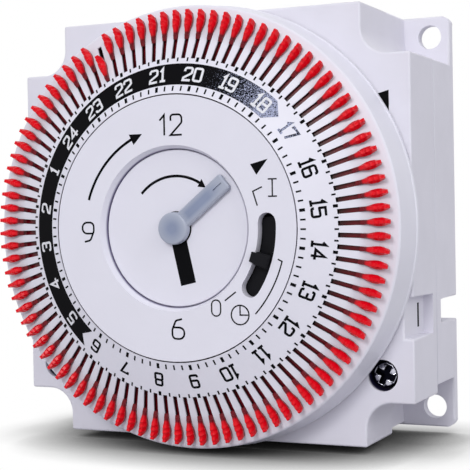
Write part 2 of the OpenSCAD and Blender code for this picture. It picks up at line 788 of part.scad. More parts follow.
module tappets() color("red") upright()
    for (i = [0:tappet_count - 1]) if (!is_single(i)) on_cone(first_slot + i * step) tappet();

module single_tappet(n, pushed = 0) color("red") upright()
    on_cone(first_slot + (pushed_tappet + 1 - n) * step) translate([-pushed, 0, 0]) tappet();

module tappet_1() single_tappet(1, tappet_travel);
module tappet_2() single_tappet(2);
module tappet_3() single_tappet(3);
module tappet_4() single_tappet(4);
module tappet_5() single_tappet(5);
module tappet_6() single_tappet(6);

// ============================ hands and motion work ============================

module hour_disc() color("whitesmoke") upright()
    tube(recess_r - slip, hour_tube_r + seat, disc_top_z - 1.2, 1.2);

module hour_wheel() color("ivory") upright() {
    gear(hour_teeth, motion_module, hour_phase, level_z(1), wheel_t, [0, 0], arbor_r + running);
    tube(hour_tube_r, arbor_r + running, level_z(1), disc_top_z - 0.2 - level_z(1));
}

hand_z = disc_top_z + 0.25;
hand_t = 0.9;
hand_hub_h = 1.15;
hand_bore_h = 0.85;
hand_line_w = 0.2;

module minute_hand() color("lightsteelblue") upright() difference() {
    union() {
        rod(hand_hub_r, hand_z, hand_hub_h);
        rotate([0, 0, hand_angle]) box([0, hand_len], [-hand_w / 2, hand_w / 2], [hand_z, hand_z + hand_t]);
    }
    rod(arbor_r + seat, hand_z - over, hand_bore_h + over);
    rotate([0, 0, hand_angle]) box([hand_len - 2.3, hand_len - 0.4], [-hand_line_w / 2, hand_line_w / 2],
        [hand_z + hand_t - 0.15, hand_z + hand_t + over]);
}

arbor_low = plate_back - 0.2;

module minute_arbor() color("silver") upright() {
    rod(arbor_r, arbor_low, hand_z + hand_bore_h - 0.05 - arbor_low);
    rod(2.2, plate_front + 0.05, level_gap - 0.1);
}

module cannon_pinion() color("goldenrod") upright() {
    tube(arbor_r + 0.7, arbor_r + seat, level_z(4) + 0.1, level_z(2) - level_z(4));
    gear(cannon_teeth, motion_module, cannon_phase, level_z(2) - 0.1, wheel_t + 0.2, [0, 0], arbor_r + seat);
}

module motion_wheel() color("ivory") upright() {
    gear(motion_teeth, motion_module, motion_phase, level_z(2), wheel_t, motion_at, pin_r + running);
    gear(motion_pinion_teeth, motion_module, motion_pinion_phase, level_z(2) + wheel_t / 2,
        level_z(1) + wheel_t - level_z(2), motion_at, pin_r + running);
}

module drive_wheel() color("ivory") upright()
    gear(motion_teeth, motion_module, drive_phase, level_z(2), wheel_t, drive_at, drive_arbor_r + seat);

module drive_arbor() color("silver") upright()
    rod(drive_arbor_r, plate_back + 0.1, pinion_low + pinion_h - plate_back - 0.1, drive_at);

module drive_pinion() color("goldenrod") upright()
    gear(drive_teeth, motion_module, drive_angle, pinion_low, pinion_h, drive_at, drive_arbor_r + seat);

module wheel_pins() color("silver") upright()
    for (at = pin_ats) rod(pin_r, plate_back, ceiling_z - plate_back, at);

// ============================ going train ============================

module clutch_wheel() color("goldenrod") upright()
    gear(clutch_teeth, going_module, clutch_phase, level_z(5), wheel_t, [0, 0], arbor_r + running);

module clutch_spring() color("silver") upright()
    tube(arbor_r + 0.8, arbor_r + seat, level_z(5) + wheel_t + 0.05, level_gap);

module train_wheel(teeth, phase, level, at, low_pinion) {
    pinion_z = low_pinion ? level_z(level + 1) - 0.1 : level_z(level);
    gear(teeth, going_module, phase, level_z(level), wheel_t, at, pin_r + running);
    gear(leaf_count, going_module, 0, pinion_z, level_z(level) + wheel_t / 2 - pinion_z, at, pin_r + running);
    tube(pin_r + running + 0.5, pin_r + running, level_z(level) + wheel_t / 2, wheel_t / 2 + 0.3, at);
}

module third_wheel() color("ivory") upright() train_wheel(third_teeth, third_phase, 4, third_at, true);

module second_wheel() color("ivory") upright() train_wheel(second_teeth, second_phase, 3, second_at, true);

module rotor_arbor() color("silver") upright() {
    rod(pin_r, rotor_low, ceiling_z + 0.4 - rotor_low, rotor_at);
    translate([rotor_at.x, rotor_at.y, level_z(3) - 0.1]) linear_extrude(wheel_t + 0.2)
        polygon(toothed(leaf_count, going_module, leaf_head, rotor_phase));
}

magnet_r = 2.6;

module rotor_magnet() color("dimgray") upright()
    tube(magnet_r, pin_r + seat, stator_z - 0.6, stator_t + 1.2, rotor_at);

stator_x = [rotor_at.x - 10.5, rotor_at.x + 10.5];
stator_y = [rotor_at.y - 4.6, rotor_at.y + 12.4];
stator_leg = 4;
stator_post_ats = [[stator_x[0] + 2, rotor_at.y - 2.2], [stator_x[1] - 2, rotor_at.y - 2.2]];

module stator() color("darkgray") upright() difference() {
    slab(stator_z, stator_t) difference() {
        translate([stator_x[0], stator_y[0]]) square([stator_x[1] - stator_x[0], stator_y[1] - stator_y[0]]);
        translate([stator_x[0] + stator_leg, rotor_at.y + 4.6])
            square([stator_x[1] - stator_x[0] - 2 * stator_leg, 3.4]);
        translate([stator_x[0] + stator_leg, stator_y[1] - 2])
            square([stator_x[1] - stator_x[0] - 2 * stator_leg, 2 + over]);
    }
    rod(magnet_r + 0.4, stator_z - over, stator_t + 2 * over, rotor_at);
    for (at = stator_post_ats) rod(0.8 + seat, stator_z - over, stator_t + 2 * over, at);
}

core_y = [rotor_at.y + 8, stator_y[1] - 2];
core_mid = (core_y[0] + core_y[1]) / 2;
bobbin_x = [stator_x[0] + stator_leg + slip, stator_x[1] - stator_leg - slip];

module along_x(x, r, y, z, len) { translate([x, y, z]) rotate([0, 90, 0]) cylinder(r = r, h = len); }

module coil_bobbin() color("black") upright() difference() {
    union() {
        for (x = [bobbin_x[0], bobbin_x[1] - 0.6]) along_x(x, coil_r + 0.2, core_mid, coil_z, 0.6);
        along_x(bobbin_x[0], 1.55, core_mid, coil_z, bobbin_x[1] - bobbin_x[0]);
    }
    box([bobbin_x[0] - over, bobbin_x[1] + over], [core_y[0] - slip / 2, core_y[1] + slip / 2],
        [stator_z - slip / 2, stator_z + stator_t + slip / 2]);
}

module coil_winding() color("peru") upright() difference() {
    along_x(bobbin_x[0] + 0.6 + seat, coil_r, core_mid, coil_z, bobbin_x[1] - bobbin_x[0] - 1.2 - 2 * seat);
    along_x(bobbin_x[0], 1.55 + seat, core_mid, coil_z, bobbin_x[1] - bobbin_x[0]);
}

// ============================ circuit board ============================

module circuit_board() color("darkgreen") upright() difference() {
    box(board_x, board_y, [board_z, board_top]);
    for (x = board_post_xs, y = board_post_ys)
        rod(board_peg_r + slip, board_z - over, board_t + 2 * over, [x, y]);
    rod(rotor_post_r + slip, board_z - over, board_t + 2 * over, rotor_at);
}

battery_r = 5;
battery_h = 5.2;
battery_at = [-2.5, -3.5];

module reserve_battery() color("silver") upright() {
    rod(battery_r, board_top, battery_h, battery_at);
    rod(battery_r - 1.5, board_top + battery_h, 0.2, battery_at);
}

module control_chip() color("black") upright() {
    box([-3, 4], [6, 10.5], [board_top + 0.2, board_top + 1.5]);
    for (x = [-2.4:1.27:3.5]) box([x, x + 0.4], [5.2, 11.3], [board_top, board_top + 0.5]);
}

module crystal() color("silver") upright() {
    along_x(-3, 1, 16, board_top + 1, 6);
    box([3, 4.2], [15.6, 16.4], [board_top, board_top + 1.2]);
}

module supply_capacitor() color("orange") upright()
    box([-24, -12], [-5.5, -0.5], [board_top, board_top + 5.5]);

// ============================ switch ============================

module switch_case() color("dimgray") upright() difference() {
    box(case_x, case_y, [case_z[0] + lid_t, case_z[1]]);
    difference() {
        box([case_x[0] + case_wall, case_x[1] - case_wall], [case_y[0] + case_wall, case_y[1] - case_wall],
            [case_z[0], case_z[1] - case_wall]);
        for (y = post_ys) rod(switch_post_r + 0.2, case_z[0], case_z[1], [post_x, y]);
    }
    for (y = post_ys) rod(switch_peg_r + seat, case_z[0], case_z[1], [post_x, y]);
    along_x(case_x[1] - 2 * case_wall, plunger_r + running, plunger_y, switch_mid_z, 3 * case_wall);
    for (x = riser_xs) box([x - blade_t / 2 - seat, x + blade_t / 2 + seat],
        [case_y[0] - over, case_y[0] + case_wall + over], [case_z[0], strip_z[1] + seat]);
}

module switch_lid() color("gray") upright() difference() {
    box(case_x, case_y, [case_z[0], case_z[0] + lid_t]);
    for (y = post_ys) rod(switch_peg_r + seat, case_z[0] - over, case_z[1], [post_x, y]);
}

// Distance of the plunger's round end from the lever's pivot, measured along x
plunger_gap = 0.05;
plunger_ball_x = pivot_at.x + ((pivot_at.y - plunger_y) * cos(arm_dir) - arm_w / 2 - plunger_r - plunger_gap)
    / -sin(arm_dir);
nib_r = 0.4;
spring_t = 0.3;

module plunger() color("red") upright() {
    inner_x = blade_x + spring_t / 2 + plunger_gap;
    along_x(inner_x, nib_r, plunger_y, switch_mid_z, 1);
    along_x(inner_x + 0.5, plunger_r, plunger_y, switch_mid_z, plunger_ball_x - inner_x - 0.5);
    translate([plunger_ball_x, plunger_y, switch_mid_z]) sphere(plunger_r);
}

blade_low = 0.5;
contact_r = 1.1;
contact_t = 0.4;

module contact_blade() color("gold") upright() {
    box([blade_x - spring_t / 2, blade_x + spring_t / 2], [blade_low, plunger_y + 0.6], strip_z);
    along_x(blade_x - spring_t / 2 - contact_t, contact_r, contact_y, switch_mid_z, spring_t + 2 * contact_t);
}

make_x = blade_x - 2.8;
break_x = blade_x + spring_t / 2 + contact_t + 0.05 + 0.6 + blade_t / 2;
riser_xs = [make_x, blade_x, break_x];
step_y = [case_y[0] - 4, case_y[0] - 2];

// Stamped terminal: tab, cross strip, riser and the arm that enters the switch
module terminal(tab_x, riser_x, cross_z, arm_top) {
    tab_y = [terminal_y - blade_w / 2, terminal_y + blade_w / 2];
    cross_y = [terminal_y - 1.5, terminal_y + 2.5];
    riser = [riser_x - blade_t / 2, riser_x + blade_t / 2];
    box([tab_x - blade_t / 2, tab_x + blade_t / 2], tab_y, [1, cross_z + blade_t]);
    box([min(tab_x, riser_x) - blade_t / 2, max(tab_x, riser_x) + blade_t / 2], cross_y,
        [cross_z, cross_z + blade_t]);
    box(riser, [cross_y[0], step_y[1]], [cross_z, cross_z + 2.6]);
    box(riser, step_y, [cross_z, strip_z[1]]);
    box(riser, [step_y[0], arm_top], strip_z);
}

module common_terminal() color("gold") upright()
    terminal(terminal_pitch, blade_x, floor_z + 0.3, blade_low - 0.3);

module make_terminal() color("gold") upright() {
    terminal(0, make_x, floor_z + 1.9, contact_y + 1.3);
    along_x(make_x + blade_t / 2, contact_r, contact_y, switch_mid_z, 0.28);
}

module break_terminal() color("gold") upright() {
    terminal(2 * terminal_pitch, break_x, floor_z + 0.3, contact_y + 1.3);
    along_x(break_x - blade_t / 2 - 0.6, contact_r, contact_y, switch_mid_z, 0.6);
}

module supply_terminals() color("gold") upright() for (i = [-2, -1]) {
    x = [i * terminal_pitch - blade_t / 2, i * terminal_pitch + blade_t / 2];
    box(x, [terminal_y - blade_w / 2, terminal_y + blade_w / 2], [1, floor_z + 0.6]);
    box(x, [terminal_y - blade_w / 2, board_y[0] + 1.6], [floor_z + 0.05, floor_z + 0.6]);
    box(x, [board_y[0] + 0.4, board_y[0] + 1.6], [board_top, floor_z + 0.6]);
}

// ============================ trip lever and override ============================

module flat_bar(from, to, w, z, h) {
    length = norm(to - from);
    translate([from.x, from.y, z]) rotate([0, 0, atan2(to.y - from.y, to.x - from.x)])
        translate([0, -w / 2, 0]) cube([length, w, h]);
}

module trip_lever() color("dimgray") upright() {
    arm_end = pivot_at + polar(pivot_reach + 1.4, arm_dir);
    difference() {
        union() {
            rod(trip_boss_r, lever_z, override_z + override_t - lever_z, pivot_at);
            flat_bar(pivot_at, arm_end, arm_w, lever_z, lever_t);
            flat_bar(pivot_at, tail_end, arm_w, override_z, override_t);
            rod(tail_pad_r, override_z, override_t, tail_end);
            slab(lever_z, tail_low_z + 1.8 - lever_z) rotate(marker_angle) polygon([
                [finger_r - finger_t / 2, -finger_w / 2], [finger_r, -finger_w / 2],
                [finger_r + finger_t / 2, -finger_w / 5], [finger_r + finger_t / 2, finger_w / 5],
                [finger_r, finger_w / 2], [finger_r - finger_t / 2, finger_w / 2]]);
        }
        rod(pin_r + 0.2 + running, lever_z - over, override_z + 2 - lever_z + 2 * over, pivot_at);
    }
}

// Coil of flat wire: a turning sector of a ring, drawn up along y
module trip_spring() color("silver") upright()
    translate([spring_at.x, spring_at.y, spring_at.z]) rotate([-90, 0, 0])
        linear_extrude(spring_len, twist = -360 * spring_turns, slices = 16 * spring_turns, $fn = 6)
            polygon([for (a = [0, 60, 120]) polar(spring_r, a), for (a = [120, 60, 0]) polar(spring_r - 0.25, a)]);

module trip_pin() color("silver") upright() {
    rod(pin_r + 0.2, lever_z - 1, ceiling_z + 0.8 - lever_z + 1, pivot_at);
    rod(pin_r + 0.9, lever_z - 1, 0.9, pivot_at);
}

nose_r = 23;
nub_w = 2.8;
nub_half = 3.2;
nub_h = 0.5;
shutter_t = 0.8;
shutter_reach = 24;

module override_post(grow, z_from, z_to) {
    arc_bar(override_r, 2.2 + 2 * grow, override_rest - 3.6 - 4 * grow, override_rest + 3.6 + 4 * grow,
        z_from, z_to - z_from, false);
}

module override_lever() color("black") upright() {
    pad_r = 1.2;
    touch = 2 * asin((pad_r + tail_pad_r + 0.12) / (2 * norm(tail_end)));
    nose_dir = atan2(tail_end.y, tail_end.x) - touch - override_up;
    tube(boss_r + 2.4, boss_r + running, override_z, override_t);
    difference() {
        union() {
            flat_bar([0, 0], polar(override_r, override_rest), 3.4, override_z, override_t);
            flat_bar([0, 0], polar(nose_r, nose_dir), 2 * pad_r - 0.4, override_z, override_t);
        }
        rod(boss_r + 1, override_z - over, override_t + 2 * over);
    }
    rod(pad_r, override_z, override_t, polar(nose_r, nose_dir));
    override_post(0, override_z, print_z + 0.4);
    arc_bar(override_r - 0.3, 3.6, override_rest - shutter_reach, override_rest + shutter_reach,
        turret_top - shutter_t - 0.2, shutter_t, false);
    arc_bar(override_r - 0.4, nub_w, override_rest - nub_half, override_rest + nub_half, print_z + 0.12,
        nub_h, false);
}

module override_washer() color("silver") upright()
    tube(boss_r + 2, boss_r + running, override_z + override_t + 0.05,
        ceiling_z - override_z - override_t - 0.1);

rear_base();
front_cover();
centre_face();
cover_screws();
movement_plate();
plate_screws();
dial_drum();
dial_ring_gear();
tappets();
tappet_1();
tappet_2();
tappet_3();
tappet_4();
tappet_5();
tappet_6();
hour_disc();
hour_wheel();
minute_hand();
minute_arbor();
cannon_pinion();
motion_wheel();
drive_wheel();
drive_arbor();
drive_pinion();
wheel_pins();
clutch_wheel();
clutch_spring();
third_wheel();
second_wheel();
rotor_arbor();
rotor_magnet();
stator();
coil_bobbin();
coil_winding();
circuit_board();
crystal();
reserve_battery();
control_chip();
supply_capacitor();
switch_case();
switch_lid();
plunger();
contact_blade();
trip_lever();
trip_spring();
trip_pin();
override_lever();
override_washer();
common_terminal();
make_terminal();
break_terminal();
supply_terminals();
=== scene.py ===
"""Dresses the packed timer module: the moulded housing, the printed dial with its sliding
tappets, the clock hands, the override lever and the wheels and contacts behind them. It adds
the floor, the lamps and the camera. Lengths inside the functions are in millimetres, as seen
from the front: x to the right, y up and z forward from the mounting plane."""

from math import atan, cos, hypot, pi, radians, sin, tan

import bmesh
import bpy
from bpy.props import FloatProperty, FloatVectorProperty, IntProperty, PointerProperty
from mathutils import Matrix, Vector


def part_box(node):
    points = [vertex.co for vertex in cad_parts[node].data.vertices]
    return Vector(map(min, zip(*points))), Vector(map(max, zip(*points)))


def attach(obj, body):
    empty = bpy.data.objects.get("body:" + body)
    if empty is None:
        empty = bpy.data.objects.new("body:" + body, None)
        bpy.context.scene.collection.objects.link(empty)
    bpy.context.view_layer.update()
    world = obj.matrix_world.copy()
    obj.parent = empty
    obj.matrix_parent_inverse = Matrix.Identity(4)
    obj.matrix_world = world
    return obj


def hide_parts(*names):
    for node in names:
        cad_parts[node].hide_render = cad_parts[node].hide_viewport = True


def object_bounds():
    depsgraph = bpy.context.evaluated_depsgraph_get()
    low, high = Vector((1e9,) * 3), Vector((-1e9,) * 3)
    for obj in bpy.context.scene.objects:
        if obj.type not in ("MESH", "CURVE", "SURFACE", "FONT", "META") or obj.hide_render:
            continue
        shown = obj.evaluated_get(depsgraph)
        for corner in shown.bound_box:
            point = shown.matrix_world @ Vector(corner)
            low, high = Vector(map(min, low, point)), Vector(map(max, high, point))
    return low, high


bl_info = {
    "name": "Timer module dressing",
    "version": (1, 0, 0),
    "blender": (4, 5, 0),
    "location": "View3D > Sidebar > Timer",
    "description": "Builds the visible pieces of a 24-hour timer module round its packed solids",
    "category": "Object",
}

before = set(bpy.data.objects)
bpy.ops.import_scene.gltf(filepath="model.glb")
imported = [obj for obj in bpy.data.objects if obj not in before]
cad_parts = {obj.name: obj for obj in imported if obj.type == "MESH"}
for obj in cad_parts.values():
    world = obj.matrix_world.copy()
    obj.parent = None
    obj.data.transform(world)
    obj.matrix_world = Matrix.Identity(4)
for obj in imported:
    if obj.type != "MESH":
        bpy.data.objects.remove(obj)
CAD_BOX = [list(corner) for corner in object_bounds()]
MM = 0.001
HALF_SIDE = 33.0  # from the middle of the housing to its sides
JOINT = 11.5  # height of the joint between base and cover
FACE = 23.5  # height of the cover's flat face
WELL = (28.1, -22.2)  # middle of the screw well on the right
PLATE = 2.0  # height of the base's mounting plate
LEVER_FACE = 35.6  # height above which the override lever stands proud
TOUCH = 2e-6  # metres within which a packed solid's corners are one
FINE_EDGE = 0.00012  # metres by which small edges are rounded
NEAR_FLAT = radians(0.4)  # turn up to which neighbouring faces are one


# ---- settings


def setting(kind, name, description, default, **more):
    """A property with the words that the panel shows."""
    return kind(name=name, description=description, default=default, **more)


def length(*words):
    """A size in metres."""
    return setting(FloatProperty, *words, unit="LENGTH", subtype="DISTANCE")


def angle(name, description, degrees):
    """A direction or a turn."""
    return setting(FloatProperty, name, description, radians(degrees), subtype="ANGLE")


def colour(*words):
    return setting(FloatVectorProperty, *words, size=3, subtype="COLOR")


class DialSizes(bpy.types.PropertyGroup):
    """Sizes of the turning dial and of its print"""

    front: length("Front edge", "Height of the dial's front edge above the mounting plane", 0.0355)
    opening: length("Opening radius", "Radius of the opening for the centre face", 0.0199)
    rim: length("Rim radius", "Radius where the cone ends", 0.0329)
    drop: length("Cone drop", "How far the cone falls back to its rim", 0.0049)
    midnight: angle("24-hour mark", "Direction of the 24-hour mark", 141.6)
    quarters: setting(IntProperty, "Quarters", "Quarter hours round the dial", 96)
    band_in: length("Band inner radius", "Inner radius of the night band", 0.0212)
    band_out: length("Band outer radius", "Outer radius of the night band", 0.0244)
    numeral_height: length("Numeral height", "Height of the hour numerals' centreline", 0.00198)
    numeral_stroke: length("Numeral stroke", "Stroke width of the hour numerals", 0.00036)
    print_lift: length("Ink height", "How far the ink stands above the surface", 0.000025)


class TappetSizes(bpy.types.PropertyGroup):
    """Sizes of one tappet"""

    head_length: length("Head length", "Length of the head along the cone", 0.0036)
    head_width: length("Head width", "Greatest width of the head", 0.00125)
    head_height: length("Head height", "Height of the head's tip above the cone", 0.00185)
    neck_width: length("Neck width", "Thickness of the neck in its slot", 0.00064)
    foot_width: length("Foot width", "Thickness of the foot behind the slot", 0.0009)
    ridge: length("Grip ridge", "Height of the three grip ridges", 0.0002)
    travel: length("Travel", "How far a tappet slides", 0.003)
    pushed_at: setting(IntProperty, "Pushed tappet", "Slot number of the tappet that is pushed in", 89)
    singles: setting(IntProperty, "Single tappets", "Tappets that are bodies of their own", 6)


class FaceSizes(bpy.types.PropertyGroup):
    """Sizes of the print on the centre face and the hour disc, and of the minute hand"""

    numeral_height: length("Numeral height", "Height of the clock numerals' centreline", 0.003)
    numeral_stroke: length("Numeral stroke", "Stroke width of the clock numerals", 0.00028)
    thin_stroke: length("Thin stroke", "Width of the fine lines", 0.0002)
    arrow_stroke: length("Arrow stroke", "Width of the turning arrows", 0.0004)
    hand_length: length("Hand length", "Reach of the minute hand", 0.0109)
    hand_width: length("Hand width", "Width of the minute hand", 0.0026)
    hand_turn: angle("Hand direction", "Direction of the minute hand", 39)
    disc_drop: length("Hour disc depth", "Depth of the hour disc below the face", 0.0012)


class Finishes(bpy.types.PropertyGroup):
    """Colours of the visible pieces"""

    shell: colour("Housing", "Colour of the moulded housing", (0.76, 0.745, 0.82))
    dial: colour("Dial", "Colour of the dial and its face", (0.79, 0.78, 0.86))
    tappet: colour("Tappets", "Colour of the tappets' heads", (0.78, 0.0015, 0.011))
    # The stem colour is a darker copy of the tappet red: painted shade for the stems down in their slots.
    stem: colour("Tappet stems", "Colour of the stems in their slots", (0.15, 0.001, 0.007))
    ink: colour("Ink", "Colour of the black print", (0.003, 0.003, 0.004))
    faded: colour("Faded ink", "Colour that the worn ink fades to", (0.42, 0.45, 0.62))
    # The minute hand is painted paler than this tint toward its edges: a painted highlight.
    hand: colour("Minute hand", "Tint of the minute hand's thick parts", (0.235, 0.275, 0.395))
    lever: colour("Override lever", "Colour of the override lever", (0.006, 0.006, 0.008))
    edge: length("Edge radius", "Rounding of the moulded edges", 0.0003)


class StageSetup(bpy.types.PropertyGroup):
    """Camera, lamps and floor"""

    azimuth: angle("Azimuth", "Camera's turn to the right of the front", 24.805)
    elevation: angle("Elevation", "Camera's height angle", 1.10)
    roll: angle("Roll", "Camera's roll", -1.039)
    distance: length("Distance", "Camera's distance from its target", 0.18816)
    aim: setting(FloatVectorProperty, "Target", "Point that the camera looks at",
                 (0.01013, -0.0355, -0.00105), size=3, subtype="TRANSLATION", unit="LENGTH")
    lens: setting(FloatProperty, "Lens", "Focal length in millimetres", 99.93)
    key: setting(FloatProperty, "Key lamp", "Power of the large lamp in front", 2.0, unit="POWER")
    fill: setting(FloatProperty, "Fill lamp", "Power of the lamp on the right", 1.2, unit="POWER")
    sky: setting(FloatProperty, "Sky", "Strength of the light from all round", 0.5)
    sky_lean: setting(FloatVectorProperty, "Sky lean", "How much brighter the sky is along each axis",
                      (0.05, 0.0, 0.25), size=3, subtype="XYZ")
    shade_reach: length("Shade reach", "How far the object's shade reaches on the floor", 0.0135)
    shade_lean: setting(FloatProperty, "Shade lean", "How far the shade leans to the right", 0.08)
    shade_depth: setting(FloatProperty, "Shade depth", "How dark the shade is", 1.5)
    floor_gap: length("Floor", "Depth of the floor below the object", 0.0001)


GROUPS = {"timer_dial": DialSizes, "timer_tappet": TappetSizes, "timer_face": FaceSizes,
          "timer_finish": Finishes, "timer_stage": StageSetup}


def settings(context, *names):
    """The scene's values of these groups."""
    return [getattr(context.scene, "timer_" + name) for name in names]


# ---- node trees


class Graph:
    """A node tree, with short ways to add to it."""

    def __init__(self, tree):
        self.nodes, self.links = tree.nodes, tree.links

    def feed(self, socket, value):
        """Links an input to an output, or gives it a plain value."""
        if isinstance(value, bpy.types.NodeSocket):
            self.links.new(value, socket)
        else:
            socket.default_value = value

    def add(self, kind, inputs=None, out=0, **options):
        """Adds a node, a shader's by its short name, and returns one output. Sockets go by name or number."""
        node = self.nodes.new(kind if "Node" in kind else "ShaderNode" + kind)
        for name, value in options.items():
            setattr(node, name, value)
        for key, value in (inputs or {}).items():
            self.feed(node.inputs[key], value)
        return node.outputs[out]

    def calc(self, operation, *values):
        """A Math node."""
        return self.add("Math", dict(enumerate(values)), operation=operation)

    def vector(self, operation, out, *values):
        """A Vector Math node."""
        return self.add("VectorMath", dict(enumerate(values)), out, operation=operation)

    def seen_rays(self):
        """1 where the camera looks, also in a gloss or through plastic, and 0 for the light's rays."""
        rays = self.nodes.new("ShaderNodeLightPath").outputs
        direct = self.calc("MAXIMUM", rays["Is Camera Ray"], rays["Is Glossy Ray"])
        return self.calc("MAXIMUM", direct, rays["Is Transmission Ray"])


class Paint(Graph):
    """A material with a Principled shader. Its patterns follow place, the object's own coordinates."""

    def __init__(self, name):
        self.material = bpy.data.materials.new(name)
        self.material.use_nodes = True
        super().__init__(self.material.node_tree)
        self.nodes.clear()
        self.shader = self.nodes.new("ShaderNodeBsdfPrincipled")
        self.surface = self.nodes.new("ShaderNodeOutputMaterial").inputs["Surface"]
        self.links.new(self.shader.outputs["BSDF"], self.surface)
        self.place = self.add("TexCoord", out="Object")

    def finish(self, inputs):
        """Feeds the shader's inputs and returns the material."""
        for name, value in inputs.items():
            self.feed(self.shader.inputs[name], value)
        return self.material

    def part(self, axis, place=None):
        """One coordinate of the place."""
        return self.add("SeparateXYZ", {"Vector": place or self.place}, axis)

    def span(self, value, low, high, to_low=0.0, to_high=1.0):
        """The value moved from one range to another, and kept inside it."""
        return self.add("MapRange", dict(enumerate((value, low, high, to_low, to_high))))

    def mix(self, share, near, far):
        """A colour between near and far, which are colours or outputs."""
        near, far = (tone if isinstance(tone, bpy.types.NodeSocket) else (*tone, 1) for tone in (near, far))
        return self.add("Mix", {"Factor": share, "A": near, "B": far}, "Result", data_type="RGBA")

    def cloud(self, size, detail=3.0, stretch=(1, 1, 1)):
        """Noise whose blotches are about size across, stretched along the axes."""
        spread = self.add("Mapping", {"Vector": self.place, "Scale": stretch})
        return self.add("TexNoise", {"Vector": spread, "Scale": 1 / (size * MM), "Detail": detail})

    def vary(self, value, tint, amount):
        """The tint made a little darker and lighter by the value."""
        ramp = self.nodes.new("ShaderNodeValToRGB")
        for element, position, gain in zip(ramp.color_ramp.elements, (0.3, 0.7), (1 - amount, 1 + amount)):
            element.position = position
            element.color = (*[min(1, c * gain) for c in tint], 1)
        self.feed(ramp.inputs["Fac"], value)
        return ramp.outputs["Color"]

    def relief(self, value, depth):
        """Bumps that follow the value."""
        bumps = self.add("Bump", {"Height": value, "Strength": 1, "Distance": depth * MM})
        self.feed(self.shader.inputs["Normal"], bumps)

    def blend(self, value, start, end, near, far):
        """A colour that goes from near to far while a length goes from start to end."""
        return self.mix(self.span(value, start * MM, end * MM), near, far)

    def from_axis(self, middle=(0.0, 0.0)):
        """The distance from a line along Y, or from its mirror image. middle is where it meets a front."""
        across = self.add("CombineXYZ", {"X": self.calc("ABSOLUTE", self.part("X")), "Z": self.part("Z")})
        shifted = self.vector("SUBTRACT", "Vector", across, (middle[0] * MM, 0.0, middle[1] * MM))
        return self.vector("LENGTH", "Value", shifted)

    def by_radius(self, inner, outer, near, far):
        """A colour that goes from near to far between two distances from the dial's axis."""
        return self.blend(self.from_axis(), inner, outer, near, far)

    def by_height(self, cone, low, high, near, far):
        """A colour that goes from near to far between two heights above the cone."""
        surface = cone.front + cone.opening * cone.fall
        height = self.calc("SUBTRACT", self.calc("MULTIPLY", self.from_axis(), cone.fall), self.part("Y"))
        return self.blend(height, surface + low, surface + high, near, far)


# ---- finishes

DULL = {"Roughness": 0.6, "Specular IOR Level": 0.04}


def moulded(name, tint, roughness=0.45, amount=0.025, grain=0.12, depth=0.002, specular=0.3, shade=None):
    """Injection-moulded plastic: faint clouds of tone, a fine spark-eroded grain and soft gloss.
    shade may paint shade or a highlight into the tone from place to place."""
    paint = Paint(name)
    tone = paint.vary(paint.cloud(6), tint, amount)
    paint.relief(paint.cloud(grain, 2), depth)
    gloss = paint.span(paint.cloud(2.5), 0.0, 1.0, roughness - 0.06, roughness + 0.06)
    return paint.finish({"Base Color": shade(paint, tone) if shade else tone, "Roughness": gloss,
                         "Specular IOR Level": specular})


def metal(name, tint, roughness=0.3, amount=0.08, stretch=(1, 1, 12), shade=None):
    """Drawn or stamped metal with fine lines along it."""
    paint = Paint(name)
    lines = paint.cloud(0.5, 4, stretch)
    tone = paint.vary(lines, tint, amount)
    paint.relief(lines, 0.001)
    return paint.finish({"Base Color": shade(paint, tone) if shade else tone, "Metallic": 1,
                         "Roughness": roughness})


def recessed_steel(name, tint, top):
    """Bright steel with painted shade: black below its face, in its recess and down its sides. top is the
    height of its face.
    """
    def shade(paint, tone):
        return paint.blend(paint.part("Y"), 0.12 - top, 0.32 - top, tone, (0.003, 0.003, 0.006))

    return metal(name, tint, 0.22, 0.15, (1, 1, 1), shade)


def printed(name, tint):
    """Pad-printed ink, slightly uneven."""
    paint = Paint(name)
    return paint.finish({"Base Color": paint.vary(paint.cloud(0.15), tint, 0.15), **DULL})


def fading_ink(name, finish, solid_at, faded_at):
    """Ink that breaks up into fine dots between two directions on the dial, in degrees."""
    paint = Paint(name)
    turn = paint.calc("ARCTAN2", paint.part("Z"), paint.part("X"))
    share = paint.span(turn, radians(solid_at), radians(faded_at), -0.4, 0.66)
    dots = paint.span(paint.cloud(0.16, 1), 0.3, 0.7)
    worn = paint.span(paint.calc("SUBTRACT", share, dots), -0.25, 0.25)
    upper_half = paint.calc("GREATER_THAN", turn, 0.0)
    tone = paint.mix(paint.calc("MULTIPLY", worn, upper_half), finish.ink, finish.faded)
    return paint.finish({"Base Color": tone, **DULL})


def hollow_shade(middle, radius, top, foot, dark):
    """A painted shade for moulded: darkens a round hollow and its mirror image, from the height top to foot.
    """
    def shade(paint, tone):
        painted_deep_shade = paint.blend(paint.part("Y"), -top, -foot, tone, dark)
        return paint.blend(paint.from_axis(middle), radius, radius + 0.12, painted_deep_shade, tone)

    return shade


def dial_plastic(name, tint, cone):
    """Satin white plastic with painted shade: dark inside the slots, below the cone's face."""
    def shade(paint, tone):
        # Painted shade: darker below the cone's face, inside the slots.
        slots = paint.by_height(cone, -0.3, -0.08, (0.03, 0.002, 0.004), tone)
        return paint.by_radius(31.5, 31.8, slots, tone)

    return moulded(name, tint, 0.42, 0.015, 0.1, 0.0015, shade=shade)


